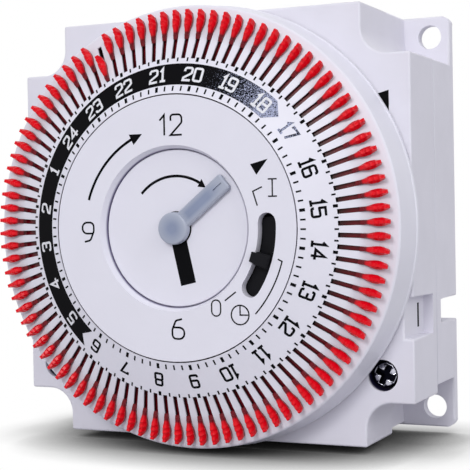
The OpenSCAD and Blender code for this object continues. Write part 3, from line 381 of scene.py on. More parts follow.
def tappet_plastic(name, finish, pushed, cone):
    """Glossy plastic of a tappet, with painted shade: dark along the stem in its slot and where the head's
    sides meet the dial.
    """
    head, stem = finish.tappet, finish.stem
    paint = Paint(name)
    tone = paint.vary(paint.cloud(1.5), head, 0.06)
    # Painted shade: the head is darker low down, where its sides meet the dial.
    tone = paint.by_height(cone, 0.15, 1.0, [c * 0.3 for c in head], tone)
    # Painted shade: the stem colour is a shaded copy of the tappet red, darker still toward the stem's inner
    # end deep in the slot.
    blade = paint.by_radius(25.5 - pushed, 27.2 - pushed, [c * 0.25 for c in stem], stem)
    paint.relief(paint.cloud(0.3, 2), 0.001)
    return paint.finish({"Base Color": paint.by_radius(29.1 - pushed, 29.4 - pushed, blade, tone),
                         "Roughness": 0.3, "Specular IOR Level": 0.25})


def hand_plastic(name, tint, turn):
    """Clouded plastic of the minute hand, painted paler toward the edges of its hub and its arm: a painted
    highlight for their sheen and the light through the thin edges.
    """
    painted_highlight = [c * 0.75 + 0.22 for c in tint]

    def shade(paint, tone):
        along = paint.add("Mapping", {"Vector": paint.place, "Rotation": (0, turn, 0)})
        sides = paint.blend(paint.calc("ABSOLUTE", paint.part("Z", along)), 0.4, 1.25, tone, painted_highlight)
        hub = paint.by_radius(0.6, 2.3, tone, painted_highlight)
        return paint.by_radius(2.0, 3.2, hub, paint.by_radius(7.5, 10.5, sides, painted_highlight))

    return moulded(name, tint, 0.35, 0.08, 0.25, 0.001, 0.5, shade)


def floor_paint(stage):
    """White to the camera but for the object's shade, and darker for the light that it throws back."""
    paint = Paint("pale_floor")
    tone = paint.vary(paint.cloud(60), (0.5, 0.5, 0.53), 0.01)
    paint.finish({"Base Color": tone, "Roughness": 0.9, "Specular IOR Level": 0.1})
    upward = paint.vector("NORMALIZE", "Vector", (-stage.shade_lean, 0.0, 1.0))
    reach = {"Distance": stage.shade_reach, "Normal": upward}
    shade = paint.add("AmbientOcclusion", reach, "AO", samples=16)
    white = paint.add("Emission", {"Strength": paint.calc("POWER", shade, stage.shade_depth)})
    both = {"Fac": paint.seen_rays(), 1: paint.shader.outputs["BSDF"], 2: white}
    paint.feed(paint.surface, paint.add("MixShader", both))
    return paint.material


# ---- building


def front(x, y, z):
    """A point as seen from the front, in millimetres, in the scene's metres."""
    return Vector((x, -z, y)) * MM


def link(item, data):
    """A new object in the scene."""
    made = bpy.data.objects.new(item, data)
    bpy.context.scene.collection.objects.link(made)
    return made


def seat(piece, body, replaced=()):
    """Lets a piece ride on its body."""
    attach(piece, body)
    if replaced:
        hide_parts(*replaced)


def add_piece(name, mesh, material, body, replaced=()):
    """Links a finished mesh, gives it its finish and lets it ride on its body."""
    mesh.materials.clear()
    mesh.materials.append(material)
    piece = link(name, mesh)
    seat(piece, body, replaced)
    return piece


def mould(node, material, body, mesh=None):
    """Puts a moulding in a packed node's place: a clean copy of its mesh, or the given one."""
    return add_piece(node + "_moulding", mesh or clean_copy(node), material, body, (node,))


def add_print(name, bm, body, ink="ink"):
    """Adds print to a body, in one of the inks."""
    add_piece(name, finish_mesh(bm, name), bpy.data.materials[ink], body)


def mark_edges(bm, limit=30):
    """Smooth faces, with a sharp line wherever two faces meet at more than the limit in degrees."""
    for face in bm.faces:
        face.smooth = True
    for edge in bm.edges:
        edge.smooth = len(edge.link_faces) == 2 and edge.calc_face_angle(0) < radians(limit)


def finish_mesh(bm, name, limit=30):
    """A plain mesh with its faces pointing outwards."""
    bmesh.ops.remove_doubles(bm, verts=bm.verts, dist=1e-7)
    bmesh.ops.recalc_face_normals(bm, faces=bm.faces)
    mark_edges(bm, limit)
    mesh = bpy.data.meshes.new(name)
    bm.to_mesh(mesh)
    bm.free()
    return mesh


def joined(mesh, limit=30, slivers=False):
    """The mesh with its doubles and its flat neighbours joined, and its slivers taken out."""
    bm = bmesh.new()
    bm.from_mesh(mesh)
    bmesh.ops.remove_doubles(bm, verts=bm.verts, dist=TOUCH)
    if slivers:
        bmesh.ops.dissolve_degenerate(bm, edges=bm.edges, dist=1e-6)
    bmesh.ops.dissolve_limit(bm, angle_limit=NEAR_FLAT, verts=bm.verts, edges=bm.edges)
    mark_edges(bm, limit)
    bm.to_mesh(mesh)
    bm.free()
    return mesh


def clean_copy(node):
    """A merged copy of a packed node's mesh, smooth where the solid is round."""
    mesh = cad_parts[node].data.copy()
    mesh.name = node
    return joined(mesh, slivers=True)


def evaluated(piece):
    """A plain mesh of what a piece's modifiers make."""
    return bpy.data.meshes.new_from_object(piece.evaluated_get(bpy.context.evaluated_depsgraph_get()))


def carve(mesh, cutter, limit=30):
    """The mesh with the cutter's mesh taken away."""
    bodies = [link(item.name, item) for item in (mesh, cutter)]
    cut = bodies[0].modifiers.new("cut", "BOOLEAN")
    cut.object, cut.operation, cut.solver = bodies[1], "DIFFERENCE", "EXACT"
    result = evaluated(bodies[0])
    for body in bodies:
        bpy.data.objects.remove(body)
    return joined(result, limit)


def round_edges(piece, width, wanted):
    """Rounds the sharp edges whose two ends, seen from the front, pass the test wanted."""
    bm = bmesh.new()
    bm.from_mesh(piece.data)
    layers = bm.edges.layers.float
    weight = layers.get("bevel_weight_edge") or layers.new("bevel_weight_edge")
    for edge in bm.edges:
        ends = [(v.co.x / MM, v.co.z / MM, -v.co.y / MM) for v in edge.verts]
        sharp = len(edge.link_faces) == 2 and edge.calc_face_angle(0) > radians(35)
        edge[weight] = 1.0 if sharp and wanted(*ends) else 0.0
    bm.to_mesh(piece.data)
    bm.free()
    bevel = piece.modifiers.new("edges", "BEVEL")
    bevel.limit_method = "WEIGHT"
    bevel.width = width
    bevel.segments = 3
    bevel.use_clamp_overlap = False


def shell(bm, rings, closed=False):
    """A skin over rings, which may be one point. The ends are capped, or joined where closed."""
    rows = [[bm.verts.new(point) for point in ring] for ring in rings]
    for a, b in zip(rows, rows[1:] + rows[:1] if closed else rows[1:]):
        count = max(len(a), len(b))
        for i in range(count):
            j = (i + 1) % count
            corners = (a[i % len(a)], a[j % len(a)], b[j % len(b)], b[i % len(b)])
            bm.faces.new(tuple(dict.fromkeys(corners)))
    if not closed:
        for row in (rows[0], rows[-1][::-1]):
            if len(row) > 2:
                bm.faces.new(row)


def prism(bm, outline, place, low, high):
    """A straight prism over an outline, between two heights of place(u, v, height)."""
    shell(bm, [[place(u, v, n) for u, v in outline] for n in (low, high)])


def patch(bm, outline, place, lift):
    """A thin flat patch of ink with the given outline."""
    prism(bm, outline, place, -lift, lift)


def strip(bm, pairs, place, lift, closed=False):
    """A thin strip of ink through the pairs of points."""
    shell(bm, [[place(*left, lift), place(*right, lift), place(*right, -lift), place(*left, -lift)]
               for left, right in pairs], closed)


def oblong(left, low, right, high):
    """The corners of a rectangle."""
    return [(left, low), (right, low), (right, high), (left, high)]


def circle(radius, count, middle=(0.0, 0.0)):
    """Points round a circle, or its middle alone where it has no radius."""
    if not radius:
        return [middle]
    return [(middle[0] + radius * cos(a), middle[1] + radius * sin(a))
            for a in (2 * pi * i / count for i in range(count))]


def arc(radius, start, end, steps):
    """Points along an arc round the origin, between two directions in degrees."""
    turns = [radians(start + (end - start) * i / steps) for i in range(steps + 1)]
    return [Vector((radius * cos(a), radius * sin(a))) for a in turns]


def lathe(bm, profile, segments, middle=(0.0, 0.0), closed=False):
    """Turns a profile of (radius, height) round an axis that points forward."""
    rings = [[front(x, y, z) for x, y in circle(radius, segments, middle)] for radius, z in profile]
    shell(bm, rings, closed)


def fillet(points, radii, closed=False):
    """The path with its corners rounded by their radii."""
    path = []
    count = len(points)
    for i, (point, radius) in enumerate(zip(points, radii)):
        here = Vector(point)
        if radius <= 0 or (not closed and i in (0, count - 1)):
            path.append(here)
            continue
        back = Vector(points[i - 1]) - here
        ahead = Vector(points[(i + 1) % count]) - here
        half = back.angle(ahead) / 2
        cut = min(radius / tan(half), back.length * 0.499, ahead.length * 0.499)
        back, ahead = back.normalized(), ahead.normalized()
        middle = here + (back + ahead).normalized() * (cut / cos(half))
        start = here + back * cut - middle
        turn = start.angle_signed(here + ahead * cut - middle)
        steps = max(3, int(abs(turn) / radians(12)))
        path += [middle + Matrix.Rotation(-turn * k / steps, 2) @ start for k in range(steps + 1)]
    return path


def stroke(path, width, closed=False):
    """Pairs of points on the two sides of a line drawn along the path."""
    path = [p for i, p in enumerate(path) if i == 0 or (p - path[i - 1]).length > 1e-4]
    if closed and (path[0] - path[-1]).length < 1e-4:
        path.pop()
    pairs = []
    for i, point in enumerate(path):
        ways = []
        if i or closed:
            ways.append(point - path[i - 1])
        if i < len(path) - 1 or closed:
            ways.append(path[(i + 1) % len(path)] - point)
        sides = [Vector((-way.y, way.x)).normalized() for way in ways]
        side = sum(sides, Vector((0, 0))).normalized()
        reach = width / 2 / max(0.35, side.dot(sides[0]))
        pairs.append((point + side * reach, point - side * reach))
    return pairs


def flat(x, y, z, turn=0.0):
    """Places u and v on a flat face round the point x, y, turned counter-clockwise."""
    c, s = cos(turn), sin(turn)
    return lambda u, v, n: front(x + u * c - v * s, y + u * s + v * c, z + n)


class Cone:
    """The dial's conical front, with places measured along its slope."""

    def __init__(self, dial):
        self.front, self.opening = dial.front / MM, dial.opening / MM
        self.fall = dial.drop / (dial.rim - dial.opening)
        self.cos, self.sin = cos(atan(self.fall)), sin(atan(self.fall))
        self.rim = self.along(dial.rim / MM)

    def radius_and_height(self, s, n):
        """Where a point lies that is s along the slope and n above it."""
        return self.opening + s * self.cos + n * self.sin, self.front - s * self.sin + n * self.cos

    def slope_place(self, radius, height):
        """The other way round: how far a point lies along the slope and above it."""
        out, up = radius - self.opening, height - self.front
        return out * self.cos - up * self.sin, out * self.sin + up * self.cos

    def along(self, radius):
        """How far along the slope a radius lies."""
        return (radius - self.opening) / self.cos

    def point(self, s, direction, n):
        r, z = self.radius_and_height(s, n)
        return front(r * cos(direction), r * sin(direction), z)

    def writing(self, radius, direction):
        """Places u to the right and v outwards round a point of the cone."""
        middle = self.along(radius)
        return lambda u, v, n: self.point(middle + v, direction - u / (radius + v), n)

    def strip_place(self, u, v, n):
        """u is a direction in radians and v a radius."""
        return self.point(self.along(v), u, n)


# Strokes of the numerals in a box of width 1 and height 1. For each, its width as a share of its
# height, and its lines as (points, radii, closed).
SQUARE_DIGITS = {
    "0": (0.62, [([(0, 0), (1, 0), (1, 1), (0, 1)], 0.24, True)]),
    "1": (0.36, [([(0.1, 0.78), (0.62, 1), (0.62, 0)], 0, False), ([(0.0, 0), (1.25, 0)], 0, False)]),
    "2": (0.6, [([(0, 0.72), (0, 1), (1, 1), (1, 0.58), (0, 0.2), (0, 0), (1, 0)],
                 [0, 0.26, 0.26, 0.16, 0.1, 0, 0], False)]),
    "3": (0.58, [([(0, 0.8), (0, 1), (1, 1), (1, 0.54), (0.3, 0.54)], [0, 0.22, 0.22, 0.18, 0], False),
                 ([(0.3, 0.54), (1, 0.54), (1, 0), (0, 0), (0, 0.2)], [0, 0.18, 0.22, 0.22, 0], False)]),
    "4": (0.66, [([(0.7, 0), (0.7, 1), (0, 0.3), (1.1, 0.3)], 0, False)]),
    "5": (0.6, [([(1, 1), (0, 1), (0, 0.56), (1, 0.6), (1, 0), (0, 0), (0, 0.18)],
                 [0, 0, 0.02, 0.2, 0.26, 0.22, 0], False)]),
    "6": (0.6, [([(1, 0.82), (1, 1), (0, 1), (0, 0), (1, 0), (1, 0.56), (0, 0.56)],
                 [0, 0.22, 0.26, 0.26, 0.26, 0.2, 0], False)]),
    "7": (0.6, [([(0, 0.84), (0, 1), (1, 1), (0.35, 0)], 0, False)]),
    "8": (0.6, [([(0, 0), (1, 0), (1, 0.53), (0, 0.53)], 0.2, True),
                ([(0.04, 0.53), (0.96, 0.53), (0.96, 1), (0.04, 1)], 0.2, True)]),
    "9": (0.6, [([(0, 0.18), (0, 0), (1, 0), (1, 1), (0, 1), (0, 0.44), (1, 0.44)],
                 [0, 0.22, 0.26, 0.26, 0.26, 0.2, 0], False)]),
}
ROUND_DIGITS = {
    "0": (0.62, [([(0, 0), (1, 0), (1, 1), (0, 1)], 0.5, True)]),
    "1": (0.3, [([(0, 0.74), (0.85, 1), (0.85, 0)], 0, False)]),
    "2": (0.62, [([(0.02, 0.7), (0, 1), (1, 1), (1, 0.6), (0, 0), (1, 0)],
                  [0, 0.45, 0.45, 0.3, 0, 0], False)]),
    "6": (0.66, [([(0.82, 0.98), (0.3, 0.9), (0, 0.45), (0, 0), (1, 0), (1, 0.56), (0.02, 0.56)],
                  [0, 0.3, 0.4, 0.45, 0.45, 0.45, 0], False)]),
    "9": (0.66, [([(0.18, 0.02), (0.7, 0.1), (1, 0.55), (1, 1), (0, 1), (0, 0.44), (0.98, 0.44)],
                  [0, 0.3, 0.4, 0.45, 0.45, 0.45, 0], False)]),
}
CORNER = 0.6  # how much of the digits' radii is used


def write(bm, text, digits, height, width, place, lift, gap=0.3):
    """Draws a number with its middle at the origin of place."""
    widths = [digits[c][0] * height for c in text]
    start = -(sum(widths) + gap * height * (len(text) - 1)) / 2
    for c, w in zip(text, widths):
        for points, radii, closed in digits[c][1]:
            scaled = [(start + x * w, (y - 0.5) * height) for x, y in points]
            each = radii if isinstance(radii, list) else [radii] * len(points)
            path = fillet(scaled, [r * height * CORNER for r in each], closed)
            strip(bm, stroke(path, width, closed), place, lift, closed)
        start += w + gap * height


def turning_arrow(bm, page, radius, start, neck, tip, width, head, lift):
    """An arc with an arrowhead at its clockwise end. The directions are in degrees."""
    strip(bm, stroke(arc(radius, start, neck, 40), width), page, lift)
    way, end = radians(neck + 0.6), radians(tip)
    out = Vector((cos(way), sin(way)))
    patch(bm, [tuple(out * (radius + head / 2)), (radius * cos(end), radius * sin(end)),
               tuple(out * (radius - head / 2))], page, lift)


# ---- repeats


def repeating_tree(name, inputs, lay):
    """A geometry tree, made once, that repeats its own mesh on the points that lay makes."""
    tree = bpy.data.node_groups.get(name)
    if tree:
        return tree
    tree = bpy.data.node_groups.new(name, "GeometryNodeTree")
    tree.is_modifier = True
    for title, kind in (("Geometry", "Geometry"), ("Count", "Int"), *inputs, ("Finish", "Material")):
        tree.interface.new_socket(name=title, in_out="INPUT", socket_type="NodeSocket" + kind)
    tree.interface.new_socket(name="Geometry", in_out="OUTPUT", socket_type="NodeSocketGeometry")
    graph = Graph(tree)
    start = graph.nodes.new("NodeGroupInput").outputs
    copies = graph.add("GeometryNodeInstanceOnPoints", {"Instance": start["Geometry"], **lay(graph, start)})
    real = graph.add("GeometryNodeRealizeInstances", {0: copies})
    done = graph.add("GeometryNodeSetMaterial", {"Geometry": real, "Material": start["Finish"]})
    graph.feed(graph.nodes.new("NodeGroupOutput").inputs[0], done)
    return tree


def around_tree():
    """Repeats a mesh round the dial's axis."""
    def lay(graph, start):
        index = graph.add("GeometryNodeInputIndex")
        turn = graph.calc("MULTIPLY_ADD", index, start["Step"], start["First Angle"])
        angles = graph.add("CombineXYZ", {"Y": graph.calc("MULTIPLY", turn, -1.0)})
        return {"Points": graph.add("GeometryNodePoints", {"Count": start["Count"]}),
                "Rotation": graph.add("FunctionNodeEulerToRotation", {0: angles})}

    return repeating_tree("around_the_axis", (("First Angle", "Float"), ("Step", "Float")), lay)


def row_tree():
    """Repeats a mesh in a row."""
    def lay(graph, start):
        line = {"Count": start["Count"], "Offset": start["Spacing"]}
        return {"Points": graph.add("GeometryNodeMeshLine", line, mode="OFFSET")}

    return repeating_tree("in_a_row", (("Spacing", "Vector"),), lay)


def repeat(name, mesh, tree, values, body, replaced=()):
    """Runs a node tree on a mesh and keeps the result as a plain mesh."""
    piece = link(name, mesh)
    modifier = piece.modifiers.new("repeat", "NODES")
    modifier.node_group = tree
    for item in tree.interface.items_tree:
        if item.in_out == "INPUT" and item.name in values:
            modifier[item.identifier] = values[item.name]
    result = evaluated(piece)
    piece.modifiers.remove(modifier)
    result.name = name
    piece.data = result
    seat(piece, body, replaced)
    return piece


# ---- operators


def side_edge(a, b, also=False):
    """Whether an edge on the housing's sides is rounded: along the joint, straight forward, or also."""
    along_joint = max(abs(a[2] - JOINT), abs(b[2] - JOINT)) < 0.05
    forward = abs(a[2] - b[2]) > 5 and hypot(a[0] - b[0], a[1] - b[1]) < 0.02
    on_sides = min(max(abs(p[0]), abs(p[1])) for p in (a, b)) > HALF_SIDE - 0.02
    return on_sides and (along_joint or forward or also)


def cover_edge(a, b):
    """Whether the cover's edge is rounded: the outline of its face too, but not its screw wells."""
    turret, well = 25.0, 2.6
    if min(a[2], b[2]) > FACE - 0.1:
        return all(max(abs(x), abs(y)) > turret and hypot(abs(x) - WELL[0], y - WELL[1]) > well
                   for x, y, _ in (a, b))
    return side_edge(a, b)


def base_edge(a, b):
    """Whether the base's edge is rounded: the two rims of its plate too."""
    return side_edge(a, b, all(abs(p[2] - PLATE) < 0.1 for p in (a, b)) or max(a[2], b[2]) < 0.05)


class MakeHousing(bpy.types.Operator):
    """Rear base and front cover with rounded edges and painted shade in the screw wells, black pieces of
    painted shade in the latch slits, and the mark on the cover's face
    """

    bl_idname = "timer.make_housing"
    bl_label = "Housing"

    def execute(self, context):
        dial, finish = settings(context, "dial", "finish")
        plastic = (finish.shell, 0.5, 0.02, 0.15, 0.003)
        # Painted shade: the cover is painted dark blue inside its screw wells, below the face.
        radius, painted_well_shade_colour = 2.4, (0.012, 0.009, 0.04)
        wells = hollow_shade(WELL, radius, FACE - 0.25, FACE - 0.9, painted_well_shade_colour)
        cover = mould("front_cover", moulded("cover_plastic", *plastic, shade=wells), "housing")
        base = mould("rear_base", moulded("shell_plastic", *plastic), "housing",
                     mesh=carve(clean_copy("rear_base"), self.lower_steps()))
        round_edges(cover, finish.edge, cover_edge)
        round_edges(base, finish.edge, base_edge)
        # Painted shade: thin black prisms stand in the two latch slits, where the slits are dark inside.
        slit, low, high, half, back, fore = 31.41, -15.5, -11.9, 0.1, 16.1, 16.9
        bm = bmesh.new()
        for x in (-slit, slit):
            prism(bm, oblong(x - half, low, x + half, high), flat(0, 0, 0), back, fore)
        add_print("latch_slit_painted_shade", bm, "housing")
        bm = bmesh.new()
        patch(bm, [(28.0, 19.25), (29.7, 16.5), (29.7, 19.7)], flat(0, 0, FACE), dial.print_lift / MM)
        add_print("cover_mark", bm, "housing")
        return {"FINISHED"}

    def lower_steps(self):
        """What the base steps back behind the cover at its two lower corners."""
        inner, wall, top, step, notch, steps = 17.0, 24.4, -25.0, 0.5, 4.0, 12
        side = HALF_SIDE + 0.2
        outline = [(inner, -side), (inner, step - HALF_SIDE), (wall, step - HALF_SIDE), (wall, top - notch)]
        outline += [(wall + notch - notch * cos(a), top - notch + notch * sin(a))
                    for a in (pi / 2 * i / steps for i in range(1, steps))]
        outline += [(wall + notch, top), (side, top), (side, -side)]
        bm = bmesh.new()
        for way in (-1, 1):
            prism(bm, [(way * x, y) for x, y in outline], flat(0, 0, 0), PLATE, JOINT + 0.02)
        return finish_mesh(bm, "lower_steps")


class MakeScrews(bpy.types.Operator):
    """The two housing screws with their cross recesses"""

    bl_idname = "timer.make_screws"
    bl_label = "Housing screws"

    def execute(self, context):
        low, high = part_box("cover_screws")
        head, under, shank, arm, leg = 2.05, 1.6, 1.1, 1.55, 0.45
        middle = (high[0] / MM - head, WELL[1])
        bottom, top = -high[1] / MM, -low[1] / MM
        bm, cutter = bmesh.new(), bmesh.new()
        lathe(bm, [(0.0, top - 0.02), (shank, top), (head - 0.3, top - 0.15), (head - 0.05, top - 0.6),
                   (head, top - under), (shank, top - under), (shank, bottom + 0.4), (0.7, bottom),
                   (0.0, bottom)], 32, middle)
        cross = [(arm, -leg), (arm, leg), (leg, leg)]
        for _ in range(3):
            cross += [(-y, x) for x, y in cross[-3:]]
        prism(cutter, cross, flat(*middle, top, radians(-25)), -1.1, 0.5)
        # Painted shade: the screw steel is painted black in the cross recess and down the head's sides.
        values = {"Count": 2, "Spacing": (-2 * middle[0] * MM, 0.0, 0.0),
                  "Finish": recessed_steel("screw_steel", (0.5, 0.5, 0.58), top)}
        screw = carve(finish_mesh(bm, "screw"), finish_mesh(cutter, "cross"))
        piece = repeat("housing_screws", screw, row_tree(), values, "housing", ("cover_screws",))
        round_edges(piece, FINE_EDGE, lambda a, b: min(a[2], b[2]) > top - 0.3)
        return {"FINISHED"}


class MakeDial(bpy.types.Operator):
    """The turning drum with its slots, painted dark inside as shade"""

    bl_idname = "timer.make_dial"
    bl_label = "Dial drum"

    def execute(self, context):
        dial, finish = settings(context, "dial", "finish")
        mould("dial_drum", dial_plastic("dial_plastic", finish.dial, Cone(dial)), "dial")
        return {"FINISHED"}


# Rings of a tappet's head from its neck to its tip: share of its length, share of its half
# width, height above the cone, and whether a grip ridge runs over it
HEAD_RINGS = (
    (0.14, 0.58, 0.72, 0), (0.27, 0.74, 0.95, 0), (0.36, 0.86, 1.08, 1), (0.43, 0.93, 1.14, 0),
    (0.5, 0.98, 1.2, 0), (0.57, 1.0, 1.3, 1), (0.64, 1.0, 1.36, 0), (0.71, 0.97, 1.44, 0),
    (0.78, 0.88, 1.54, 1), (0.85, 0.76, 1.62, 0), (0.94, 0.62, 1.82, 0), (1.0, 0.5, 1.6, 0))
RINGS_HEIGHT = 1.85  # the head height that the rings are drawn for


class MakeTappets(bpy.types.Operator):
    """The ninety tappets of the dial and the six that are bodies of their own"""

    bl_idname = "timer.make_tappets"
    bl_label = "Tappets"

    def tappet_mesh(self, cone, size, pushed):
        """One tappet at the right-hand side of the dial, pushed in by some millimetres."""
        bm = bmesh.new()
        tip, clear = cone.rim - 0.9, 0.12
        long, height, ridge = size.head_length / MM, size.head_height / MM, size.ridge / MM
        half, neck, foot = (width / MM / 2 for width in (size.head_width, size.neck_width, size.foot_width))

        def at(s, t, n):
            r, z = cone.radius_and_height(s - pushed, n)
            return front(r, t, z)

        rings = []
        for along, share, rise, ridged in ((0.0, neck / half, 0.5, 0), *HEAD_RINGS):
            wide = half * share
            top = min(rise * height / RINGS_HEIGHT + ridged * ridge, height)
            knee = clear + (top - clear) * 0.45
            crest = min(wide * 0.8, half * 0.37)
            rings.append([at(tip - long * (1 - along), t, n) for t, n in (
                (-wide * 0.9, clear), (-wide, knee), (-crest, top), (crest, top), (wide, knee),
                (wide * 0.9, clear))])
        shell(bm, rings)
        inner, outer = cone.along(25.2) + 0.3, tip - 0.7
        stem = inner + size.travel / MM
        tail = cone.radius_and_height(cone.rim, -2.6)[1] + 0.6
        low = cone.front - 10.7
        blade = [(inner, -1.7), (outer, -1.7), (outer, 0.4), (tip - long, 0.4), (tip - long - 0.6, clear),
                 (stem + 0.4, -0.04), (stem, -0.6), (inner, -0.6)]
        base = [(inner, -1.5), (inner, -2.6), *[cone.slope_place(r, z) for r, z in (
            (29.8, tail), (29.8, low), (30.99, low), (30.99, tail))], (outer, -1.5)]
        for outline, wide in ((blade, neck), (base, foot)):
            shell(bm, [[at(s, t, n) for s, n in outline] for t in (-wide, wide)])
        return finish_mesh(bm, "tappet", 14)

    def execute(self, context):
        dial, size, finish = settings(context, "dial", "tappet", "finish")
        cone, travel, step = Cone(dial), size.travel / MM, 2 * pi / dial.quarters
        resting = tappet_plastic("tappet_plastic", finish, 0.0, cone)
        moved = tappet_plastic("pushed_tappet_plastic", finish, travel, cone)
        first = dial.midnight + step / 2 + (size.pushed_at + 1) * step
        rows = [("tappet_ring", "dial", "tappets", dial.quarters - size.singles, first)]
        rows += [(f"tappet_{k}_moulding", f"tappet_{k}", f"tappet_{k}", 1, first - k * step)
                 for k in range(1, size.singles + 1)]
        for name, body, node, count, start in rows:
            pushed, plastic = (travel, moved) if body == "tappet_1" else (0, resting)
            values = {"Count": count, "First Angle": start, "Step": step, "Finish": plastic}
            mesh = self.tappet_mesh(cone, size, pushed)
            repeat(name, mesh, around_tree(), values, body, (node,))
        return {"FINISHED"}


class MakeDialPrint(bpy.types.Operator):
    """Ticks, hour numerals and the night band on the dial's cone"""

    bl_idname = "timer.make_dial_print"
    bl_label = "Dial print"

    def execute(self, context):
        dial, finish = settings(context, "dial", "finish")
        cone, lift = Cone(dial), dial.print_lift / MM
        printed("white_ink", (0.78, 0.78, 0.82))
        fading_ink("day_ink", finish, 22, 39)
        fading_ink("night_ink", finish, 84, 47)
        for name, inner, outer, width, every in (
                ("inner_quarter_ticks", 20.25, 20.98, 0.25, 1), ("inner_hour_ticks", 20.25, 21.02, 0.44, 4),
                ("outer_quarter_ticks", 24.74, 25.32, 0.25, 1), ("outer_hour_ticks", 24.72, 25.38, 0.44, 4)):
            bm = bmesh.new()
            strip(bm, [((width / 2 / r, r), (-width / 2 / r, r)) for r in (inner, outer)], cone.strip_place,
                  lift if every == 1 else lift * 1.2)
            values = {"Count": dial.quarters // every, "First Angle": dial.midnight,
                      "Step": 2 * pi / dial.quarters * every, "Finish": bpy.data.materials["ink"]}
            repeat(name, finish_mesh(bm, "tick"), around_tree(), values, "dial")
        self.band(cone, dial, lift)
        middle = (dial.band_in + dial.band_out) / 2 / MM
        height, width = dial.numeral_height / MM, dial.numeral_stroke / MM
        night = (*range(18, 25), *range(1, 6))
        for name, hours, ink, raised in (("day_numerals", range(6, 18), "day_ink", lift),
                                         ("night_numerals", night, "white_ink", lift * 2)):
            bm = bmesh.new()
            for hour in hours:
                place = cone.writing(middle, dial.midnight + hour * pi / 12)
                write(bm, str(hour), SQUARE_DIGITS, height, width, place, raised, 0.24)
            add_print(name, bm, "dial", ink)
        return {"FINISHED"}

    def band(self, cone, dial, lift):
        """The band from its point before 18 round to its swallow tail after 5."""
        inner, outer, middle = dial.band_in / MM, dial.band_out / MM, 22.98
        point, shoulder, notch, tail = (radians(a) for a in (43.2, 47.7, 224.0, 227.2))
        steps, tail_steps = 180, 8
        bm = bmesh.new()
        turns = [shoulder + (notch - shoulder) * i / steps for i in range(steps + 1)]
        tip = ((point, middle + 0.01), (point, middle - 0.01))
        strip(bm, [tip, *[((a, outer), (a, inner)) for a in turns]], cone.strip_place, lift)
        for edge in (outer, inner):
            pairs = []
            for i in range(tail_steps + 1):
                turn = notch + (tail - notch) * i / tail_steps
                pairs.append(((turn, edge), (turn, middle + (edge - middle) * i / (tail_steps + 0.2))))
            strip(bm, pairs, cone.strip_place, lift)
        add_print("night_band", bm, "dial", "night_ink")


# Print on the centre face: numerals with their places, and the lines of the override symbols
PALE = (0.4, 0.01, 0.1, 0.0012)  # how moulded makes the face and the hour disc
FACE_NUMERALS = (("12", 0.0, 15.25), ("9", -14.45, -0.45), ("6", 0.65, -14.8))
FACE_LINES = (
    ((16.1, 4.43), (16.1, 6.89)), ((15.43, 4.43), (16.8, 4.43)), ((15.43, 6.89), (16.8, 6.89)),
    ((14.5, 5.8), (13.05, 5.18), (13.72, 3.13)), ((10.1, -9.27), (8.32, -10.56)),
    ((10.72, -11.15), (10.72, -12.6), (12.15, -12.6)))


class MakeCentreFace(bpy.types.Operator):
    """The fixed centre face with its numerals, arrow, marks and override symbols, and painted shade at the
    foot of its opening
    """

    bl_idname = "timer.make_centre_face"
    bl_label = "Centre face"

    def execute(self, context):
        dial, size, finish = settings(context, "dial", "face", "finish")
        z, lift, thin = dial.front / MM, dial.print_lift / MM, size.thin_stroke / MM
        height, width = size.numeral_height / MM, size.numeral_stroke / MM
        # Painted shade: the centre face is painted dark violet at the foot of its opening, round the hour
        # disc.
        opening, painted_foot_shade_colour = 12.0, (0.17, 0.15, 0.26)
        foot = hollow_shade((0.0, 0.0), opening, z - 0.85, z - 1.15, painted_foot_shade_colour)
        mould("centre_face", moulded("face_plastic", finish.dial, *PALE, shade=foot), "housing")
        page = flat(0, 0, z)
        bm = bmesh.new()
        for text, x, y in FACE_NUMERALS:
            write(bm, text, ROUND_DIGITS, height, width, flat(x, y, z), lift)
        write(bm, "0", ROUND_DIGITS, 2.33, thin, flat(6.9, -11.65, z), lift)
        bracket = [Vector((16.75, -4.55)), *arc(18.08, -15.6, -43.4, 24)]
        for line in (*FACE_LINES, bracket):
            strip(bm, stroke([Vector(p) for p in line], thin), page, lift)
        clock = [Vector(p) for p in circle(1.4, 48, (10.72, -12.6))]
        strip(bm, stroke(clock, thin, True), page, lift, True)
        patch(bm, [(12.72, 9.08), (13.67, 7.54), (15.44, 9.76)], page, lift)
        turning_arrow(bm, page, 14.9, 162.6, 116.0, 108.9, size.arrow_stroke / MM, 1.75, lift)
        add_print("face_print", bm, "housing")
        return {"FINISHED"}


class MakeHourDisc(bpy.types.Operator):
    """The hour disc with its bar and turning arrow"""

    bl_idname = "timer.make_hour_disc"
    bl_label = "Hour disc"

    def execute(self, context):
        dial, size, finish = settings(context, "dial", "face", "finish")
        lift, z = dial.print_lift / MM, (dial.front - size.disc_drop) / MM
        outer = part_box("hour_disc")[1][0] / MM
        bore, thick, edge = 1.96, 1.2, 0.12
        bm = bmesh.new()
        profile = [(bore, z - thick), (bore, z), (outer - edge, z), (outer, z - edge), (outer, z - thick)]
        lathe(bm, profile, 128, closed=True)
        mould("hour_disc", moulded("disc_plastic", finish.dial, *PALE), "hour",
              mesh=finish_mesh(bm, "hour_disc"))
        page = flat(0, 0, z)
        root = -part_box("minute_hand")[0][0] / MM + 0.14
        bm = bmesh.new()
        # A black ink disc a little wider than the minute hand's hub, so that a thin dark ring shows round the
        # hub.
        patch(bm, circle(root, 40), page, lift * 0.8)
        turning_arrow(bm, page, 7.75, 137.5, 58.5, 49.6, size.arrow_stroke / MM, 1.3, lift)
        patch(bm, oblong(-1.25, 2.0, 1.25, 8.5), flat(0, 0, z, radians(-167.2)), lift)
        add_print("hour_print", bm, "hour")
        return {"FINISHED"}


